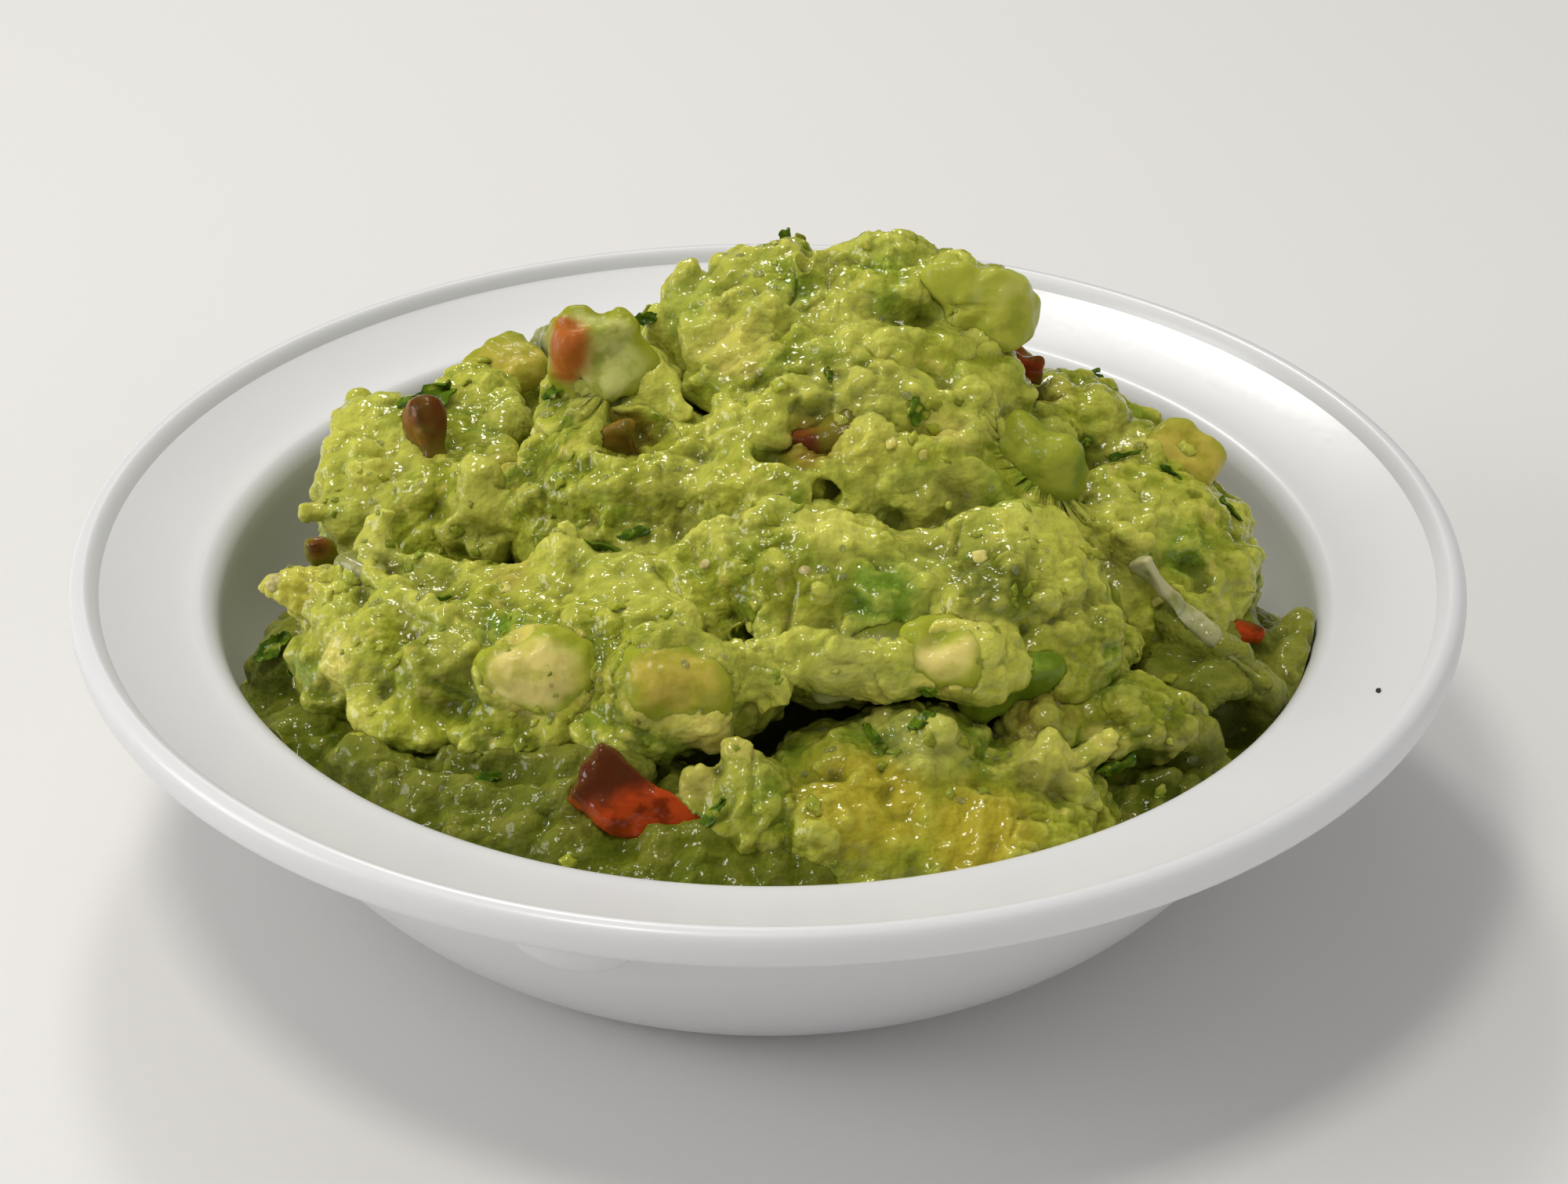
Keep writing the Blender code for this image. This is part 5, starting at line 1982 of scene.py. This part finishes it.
@dataclass(frozen=True)
class Leaf:
    """A torn bit of herb leaf laid on the mash: about where, and its sizes in mm.

    spin is its turn on the mash, curl how much it bends and lift how much it tips, in degrees.
    """

    centre: Triple
    length: float
    width: float
    spin: float
    curl: float = 60.0
    lift: float = 10.0

    def build(self, surface: Surface, seed: int) -> bpy.types.Object:
        """Cut the outline, fold it at the rib, curl it and lay it on the mash.

        Args:
            surface: the mash.
            seed: picks the tears.

        Returns:
            The bit of leaf.
        """
        object_mode()
        bpy.ops.mesh.primitive_grid_add(x_subdivisions=16, y_subdivisions=8, size=2.0)
        piece = bpy.context.object
        points = read_points(piece)
        along, across = points[:, 0], points[:, 1]
        outline = np.clip(1.0 - np.abs(along + 0.25 * across) ** 3.2, 0.02, 1.0) ** 0.5
        lobes = 0.9 + 0.14 * np.sin(along * 7.0 + seed) + 0.06 * np.sin(along * 17.0 + 2.0 * seed)
        shaped = np.stack(
            [
                along * self.length / 2 + 0.15 * np.sin(across * 3.0 + seed),
                across * self.width / 2 * outline * lobes,
                0.2 * np.abs(across) * self.width / 2 + 0.12 * np.sin(along * 5.0 + across * 3.0 + seed),
            ],
            axis=1,
        )
        write_points(piece, shaped * MM)
        angle = math.radians(-0.5 * self.curl)
        modify(piece, "SIMPLE_DEFORM", deform_method="BEND", angle=angle, deform_axis="Y")
        modify(piece, "SOLIDIFY", thickness=0.26 * MM, offset=0.0)
        point, normal = surface.nearest(metres(self.centre))
        piece.rotation_mode = "QUATERNION"
        piece.rotation_quaternion = laid(normal, self.spin, 0.4 * self.lift)
        piece.location = point + normal * 0.35 * MM
        settle(piece)
        return piece


LEAVES = (
    Leaf((-41.5, 14.0, 50.6), 6.4, 3.6, 20, 70, 30),
    Leaf((-44.0, 13.0, 49.4), 3.4, 2.2, 80, 40, 40),
    Leaf((-18.6, -17.4, 46.0), 7.0, 1.7, -8, 40, 24),
    Leaf((-15.0, -18.0, 46.0), 4.0, 1.6, 30, 50, -20),
    Leaf((16.0, -8.6, 57.0), 3.4, 2.2, 60, 60, 20),
    Leaf((17.4, -45.0, 38.6), 3.4, 2.0, 100, 60, 30),
    Leaf((-6.0, -55.6, 33.4), 6.6, 1.4, 80, 30, 60),
    Leaf((36.6, -43.6, 32.6), 5.0, 2.6, -30, 40, 20),
    Leaf((38.6, -42.4, 31.6), 3.6, 2.0, 40, 60, 30),
    Leaf((-57.4, -19.0, 33.4), 4.6, 2.6, 70, 40, 30),
    Leaf((-56.0, -24.0, 33.0), 3.4, 2.0, 20, 60, 20),
    Leaf((17.0, -41.4, 41.8), 2.0, 1.4, 0, 60, 20),
    Leaf((10.6, -45.4, 38.4), 5.0, 1.2, 10, 30, 30),
    Leaf((37.6, -1.6, 49.6), 4.4, 1.1, -4, 30, 30),
    Leaf((41.8, -2.0, 48.6), 4.6, 1.2, 8, 40, 20),
    Leaf((46.8, -3.0, 46.4), 2.6, 1.8, 40, 50, 20),
    Leaf((-25.6, 1.6, 56.4), 2.8, 1.6, 70, 40, 30),
    Leaf((-16.2, 4.8, 63.0), 3.4, 1.6, 30, 40, 40),
    Leaf((52.4, -4.0, 40.0), 3.6, 2.0, 50, 50, 20),
    Leaf((-36.4, -24.6, 43.4), 2.6, 1.2, 20, 50, 20),
    Leaf((6.4, -4.6, 60.0), 2.4, 1.2, 0, 60, 20),
    Leaf((27.6, -4.0, 52.4), 3.0, 1.6, 50, 50, 20),
    Leaf((-30.0, -47.0, 33.6), 3.4, 1.4, -20, 50, 20),
    Leaf((-4.0, 33.0, 52.0), 5.4, 2.8, 30, 60, 20),
    Leaf((22.0, 36.0, 46.0), 4.4, 2.2, -30, 60, 30),
    Leaf((-30.0, 34.0, 42.0), 5.0, 2.4, 60, 60, 20),
    Leaf((40.0, 22.0, 46.0), 4.6, 2.4, 10, 60, 20),
    Leaf((2.0, 24.0, 64.0), 4.2, 2.0, 100, 60, 20),
)


@dataclass(frozen=True)
class HerbFinish:
    """Wilted coriander leaf, wet: dark green, paler in patches where mash clings."""

    leaf: str = "#5A7416"
    dark: str = "#36500C"
    mash: str = "#8C902A"

    def build(self) -> bpy.types.Material:
        """The material."""
        paint = Painter("coriander_leaf")
        colour = paint.mixed(paint.ranged(paint.noise(1.8, 3.0), 0.4, 0.62), self.leaf, self.dark)
        colour = paint.layered(colour, ((paint.noise(1.2, 2.0), 0.6, 0.68, 0.8, self.mash),))
        rough = paint.ranged(paint.noise(1.5), 0.3, 0.7, 0.25, 0.45)
        paint.wet(colour, rough, paint.noise(0.6, 2.0), 0.6, 0.12)
        paint.fix({"Coat Roughness": 0.16, "Coat Weight": 0.5})
        return paint.material


def build_herbs(surface: Surface, finish: HerbFinish) -> bpy.types.Object:
    """Lay every bit of leaf and join them to one piece.

    Args:
        surface: the mash.
        finish: the leaf's finish.

    Returns:
        The piece.
    """
    bits = [leaf.build(surface, number) for number, leaf in enumerate(LEAVES)]
    object_mode()
    for bit in bits:
        bit.select_set(True)
    bpy.context.view_layer.objects.active = bits[0]
    bpy.ops.object.join()
    herbs = bits[0]
    herbs.name = "herb_leaves"
    settle(herbs)
    shade(herbs, 60.0)
    give_material(herbs, finish.build())
    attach(herbs, ROOT)
    return herbs


@dataclass(frozen=True)
class Scatter:
    """Small loose bits over the mash, modelled once and copied.

    least and most are their half sizes in mm, flat their height and sink how much of it is under
    the surface, as shares of that. lowest is the least height in mm, bumpy how uneven a bit is.
    """

    name: str
    slot: str
    count: int
    least: float
    most: float
    flat: float
    sink: float
    seed: int
    lowest: float = 22.0
    bumpy: float = 0.3

    def build(self, surface: Surface, material: bpy.types.Material) -> bpy.types.Object:
        """Model one bit and copy it to open places on the mash.

        Args:
            surface: the mash.
            material: what the bits are made of.

        Returns:
            The piece that holds them all.
        """
        template = ball(2)
        points = read_points(template)
        uneven = 1.0 + self.bumpy * rolling_noise(points, 0.8, self.seed)
        write_points(template, points * uneven[:, None])
        random = np.random.default_rng(self.seed)
        matrices = []
        for point, normal in surface.sample(self.count, self.seed, self.lowest):
            size = self.least + (self.most - self.least) * random.random() ** 2.2
            length = size * random.uniform(0.8, 1.4)
            half = Vector((length, size * random.uniform(0.7, 1.1), size * self.flat))
            turn = laid(normal, random.uniform(0.0, 360.0))
            place = point + normal * size * self.flat * (1.0 - self.sink) * MM
            matrices.append(Matrix.LocRotScale(place, turn, half * MM))
        piece = copies(template, self.name, matrices)
        # The finishes read these numbers, which a spoonful or a cut piece has and a bit hasn't.
        # They give the crumbs a middling share of the mash's painted light and shade by height, and none of
        # its painted shade for lying low.
        levels = {"crest": 0.6, "hump": 0.6, "skin": 0.0, "smear": 0.0, "low_shade": 0.0, "ridge": 0.0}
        for label, level in levels.items():
            write_attribute(piece, label, np.full(len(piece.data.vertices), level))
        shade(piece)
        give_material(piece, material)
        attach(piece, ROOT)
        return piece


CRUMBS = Scatter(
    "mash_crumbs", "mash", count=420, least=0.35, most=1.0, flat=0.6, sink=1.05, seed=301, bumpy=0.5
)
FLAKES = Scatter(
    "avocado_flakes", "avocado_pale", count=10, least=0.5, most=1.1, flat=0.5, sink=1.0, seed=302,
    lowest=26.0, bumpy=0.5,
)
SEEDS = Scatter(
    "pepper_seeds", "pepper", count=6, least=0.7, most=0.9, flat=0.45, sink=1.2, seed=303,
    lowest=26.0, bumpy=0.08,
)
DROPS = Scatter(
    "juice_drops", "", count=260, least=0.25, most=0.7, flat=0.35, sink=0.6, seed=304,
    lowest=24.0, bumpy=0.05,
)


@dataclass(frozen=True)
class JuiceFinish:
    """Drops of lime and tomato juice: clear, faintly green, with the gloss of water."""

    tint: str = "#E9ECC0"

    def build(self) -> bpy.types.Material:
        """The material."""
        paint = Painter("clear_juice")
        paint.fix({"Base Color": linear(self.tint), "Roughness": 0.04, "IOR": 1.34})
        paint.fix({"Transmission Weight": 0.9})
        return paint.material


@dataclass(frozen=True)
class SeedFinish:
    """Flat pale seeds, wet: a cream skin, duller in patches."""

    cream: str = "#C8BE82"
    dull: str = "#A89C58"

    def build(self) -> bpy.types.Material:
        """The material."""
        paint = Painter("pale_seed")
        colour = paint.mixed(paint.ranged(paint.noise(1.0, 2.0), 0.4, 0.65), self.cream, self.dull)
        rough = paint.ranged(paint.noise(0.8), 0.3, 0.7, 0.3, 0.5)
        paint.wet(colour, rough, paint.noise(0.4), 0.4, 0.08)
        paint.fix({"Coat Roughness": 0.08})
        return paint.material


@dataclass(frozen=True)
class Speck:
    """The dark dried speck on the rim: its place seen from above and its half sizes in mm.

    It is dropped on the bowl from a height of drop_height.
    """

    centre: Pair = (67.6, -32.6)
    drop_height: float = 80.0
    half: Triple = (0.55, 0.28, 0.14)
    spin: float = 20.0
    dark: str = "#3A2A14"
    darkest: str = "#22170A"

    def build(self, bowl: bpy.types.Object) -> bpy.types.Object:
        """Model the speck and set it on the rim.

        Args:
            bowl: what it sticks to.

        Returns:
            The speck.
        """
        object_mode()
        speck = ball(3)
        speck.name = "rim_speck"
        points = read_points(speck)
        uneven = 1.0 + 0.35 * rolling_noise(points, 0.7, 9)
        write_points(speck, points * uneven[:, None] * np.array(self.half) * MM)
        tree = BVHTree.FromObject(bowl, bpy.context.evaluated_depsgraph_get())
        start = metres((*self.centre, self.drop_height))
        point, normal, _, _ = tree.ray_cast(start, Vector((0.0, 0.0, -1.0)))
        speck.rotation_mode = "QUATERNION"
        speck.rotation_quaternion = laid(normal, self.spin)
        speck.location = point + normal * 0.04 * MM
        settle(speck)
        shade(speck)
        paint = Painter("dried_mash_speck")
        paint.feed("Base Color", paint.mixed(paint.noise(0.3), self.dark, self.darkest))
        paint.fix({"Roughness": 0.7})
        give_material(speck, paint.material)
        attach(speck, ROOT)
        return speck


# ---------------------------------------------------------------- studio


@dataclass(frozen=True)
class SoftLight:
    """A rectangular soft light aimed at the heap: place and size in mm, power in watts.

    glints says whether wet things mirror it.
    """

    name: str
    place: Triple
    size: Pair
    power: float
    colour: str
    glints: bool = True
    aim: Triple = (0.0, 0.0, 30.0)

    def build(self) -> None:
        """Hang the light and aim it."""
        lamp = bpy.data.lights.new(self.name, "AREA")
        lamp.shape = "RECTANGLE"
        lamp.size = self.size[0] * MM
        lamp.size_y = self.size[1] * MM
        lamp.energy = self.power
        lamp.color = linear(self.colour)[:3]
        holder = bpy.data.objects.new(self.name, lamp)
        bpy.context.scene.collection.objects.link(holder)
        holder.location = metres(self.place)
        way = metres(self.aim) - holder.location
        holder.rotation_euler = way.to_track_quat("-Z", "Y").to_euler()
        holder.visible_glossy = self.glints


# The glint light, the ceiling lamp and the window are small, so that the juice mirrors them as sharp
# glints. The two broad lights aren't mirrored, as their sheen would lie over the mash as a grey veil.
LIGHTS = (
    SoftLight("glint_light", (-152.0, 667.0, 798.0), (130.0, 240.0), 2.6, "#FFFDF6"),
    SoftLight("top_light", (-160.0, 310.0, 990.0), (850.0, 750.0), 1.4, "#FFFDFA", False),
    SoftLight("ceiling_lamp", (-240.0, -160.0, 1000.0), (180.0, 200.0), 3.0, "#FFFCF2"),
    SoftLight("window_light", (-850.0, -90.0, 340.0), (480.0, 380.0), 3.5, "#FFFEFC"),
    SoftLight("front_fill", (700.0, -900.0, 420.0), (1600.0, 900.0), 2.8, "#FFFEFC", False),
)


@dataclass(frozen=True)
class Studio:
    """The pale floor, the even light of the room, and the camera."""

    floor_size: float = 3000.0
    floor_colour: str = "#DCDAD8"
    floor_fibres: str = "#D9D8D6"
    camera_place: Triple = (0.0, -325.988, 221.212)
    camera_yaw: float = 0.33
    camera_pitch: float = 30.53
    camera_roll: float = 0.25
    lens: float = 72.0
    sky: str = "#F4F4F6"
    sky_strength: float = 0.43

    def build_floor(self) -> None:
        """A matt pale sheet under the bowl."""
        object_mode()
        bpy.ops.mesh.primitive_plane_add(size=self.floor_size * MM)
        floor = bpy.context.object
        floor.name = "floor"
        paint = Painter("pale_matt_sheet")
        colour = paint.mixed(paint.noise(1.2, 4.0), self.floor_colour, self.floor_fibres)
        paint.feed("Base Color", colour)
        paint.fix({"Roughness": 0.7})
        give_material(floor, paint.material)

    def build_room(self) -> None:
        """The even light from all round, which nothing mirrors, and plain colours on screen."""
        world = bpy.data.worlds.new("room")
        world.use_nodes = True
        sky = world.node_tree.nodes["Background"]
        sky.inputs["Color"].default_value = linear(self.sky)
        sky.inputs["Strength"].default_value = self.sky_strength
        world.cycles_visibility.glossy = False
        bpy.context.scene.world = world
        bpy.context.scene.view_settings.view_transform = "Standard"

    def build_camera(self) -> None:
        """The camera, looking down on the bowl from the front."""
        yaw = math.radians(self.camera_yaw)
        pitch = math.radians(self.camera_pitch)
        forward = Vector(
            (math.sin(yaw) * math.cos(pitch), math.cos(yaw) * math.cos(pitch), -math.sin(pitch))
        )
        right = forward.cross(Vector((0.0, 0.0, 1.0))).normalized()
        upward = right.cross(forward)
        axes = Matrix((right, upward, -forward)).transposed().to_4x4()
        data = bpy.data.cameras.new("camera")
        data.lens = self.lens
        data.sensor_width = 36.0
        data.clip_start = 10.0 * MM
        camera = bpy.data.objects.new("camera", data)
        bpy.context.scene.collection.objects.link(camera)
        roll = Matrix.Rotation(math.radians(self.camera_roll), 4, "Z")
        camera.matrix_world = Matrix.Translation(metres(self.camera_place)) @ axes @ roll
        bpy.context.scene.camera = camera

    def build(self) -> None:
        """Set up the whole studio."""
        self.build_floor()
        for light in LIGHTS:
            light.build()
        self.build_room()
        self.build_camera()


def report(piece: bpy.types.Object) -> None:
    """Log a finished piece."""
    LOG.info("%s: %d faces", piece.name, len(piece.data.polygons))


def main() -> None:
    """Build the bowl, the mash, the pieces in it and the studio in order."""
    logging.basicConfig(level=logging.INFO, format="%(message)s")
    Studio().build()
    bowl = Bowl()
    vessel = bowl.build(MelamineFinish())
    report(vessel)
    report(Speck().build(vessel))
    well = Well(bowl)
    mash = MashFinish().build()
    spoonfuls = []
    for spoonful in SPOONFULS:
        piece = spoonful.build(well, mash)
        report(piece)
        spoonfuls.append(piece)
        if spoonful is CORE:
            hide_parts("guacamole")
    foods = {}
    pairs = []
    for morsel in MORSELS:
        name = morsel.finish.name
        if name not in foods:
            foods[name] = morsel.finish.build()
        piece = morsel.build(foods[name])
        pairs.append((morsel, piece))
        report(piece)
    Nest().settle_in(pairs, spoonfuls)
    surface = Surface(spoonfuls)
    report(build_herbs(surface, HerbFinish()))
    report(CRUMBS.build(surface, mash))
    report(FLAKES.build(surface, foods[PALE_AVOCADO.name]))
    report(SEEDS.build(surface, SeedFinish().build()))
    report(DROPS.build(surface, JuiceFinish().build()))


if __name__ == "__main__":
    main()
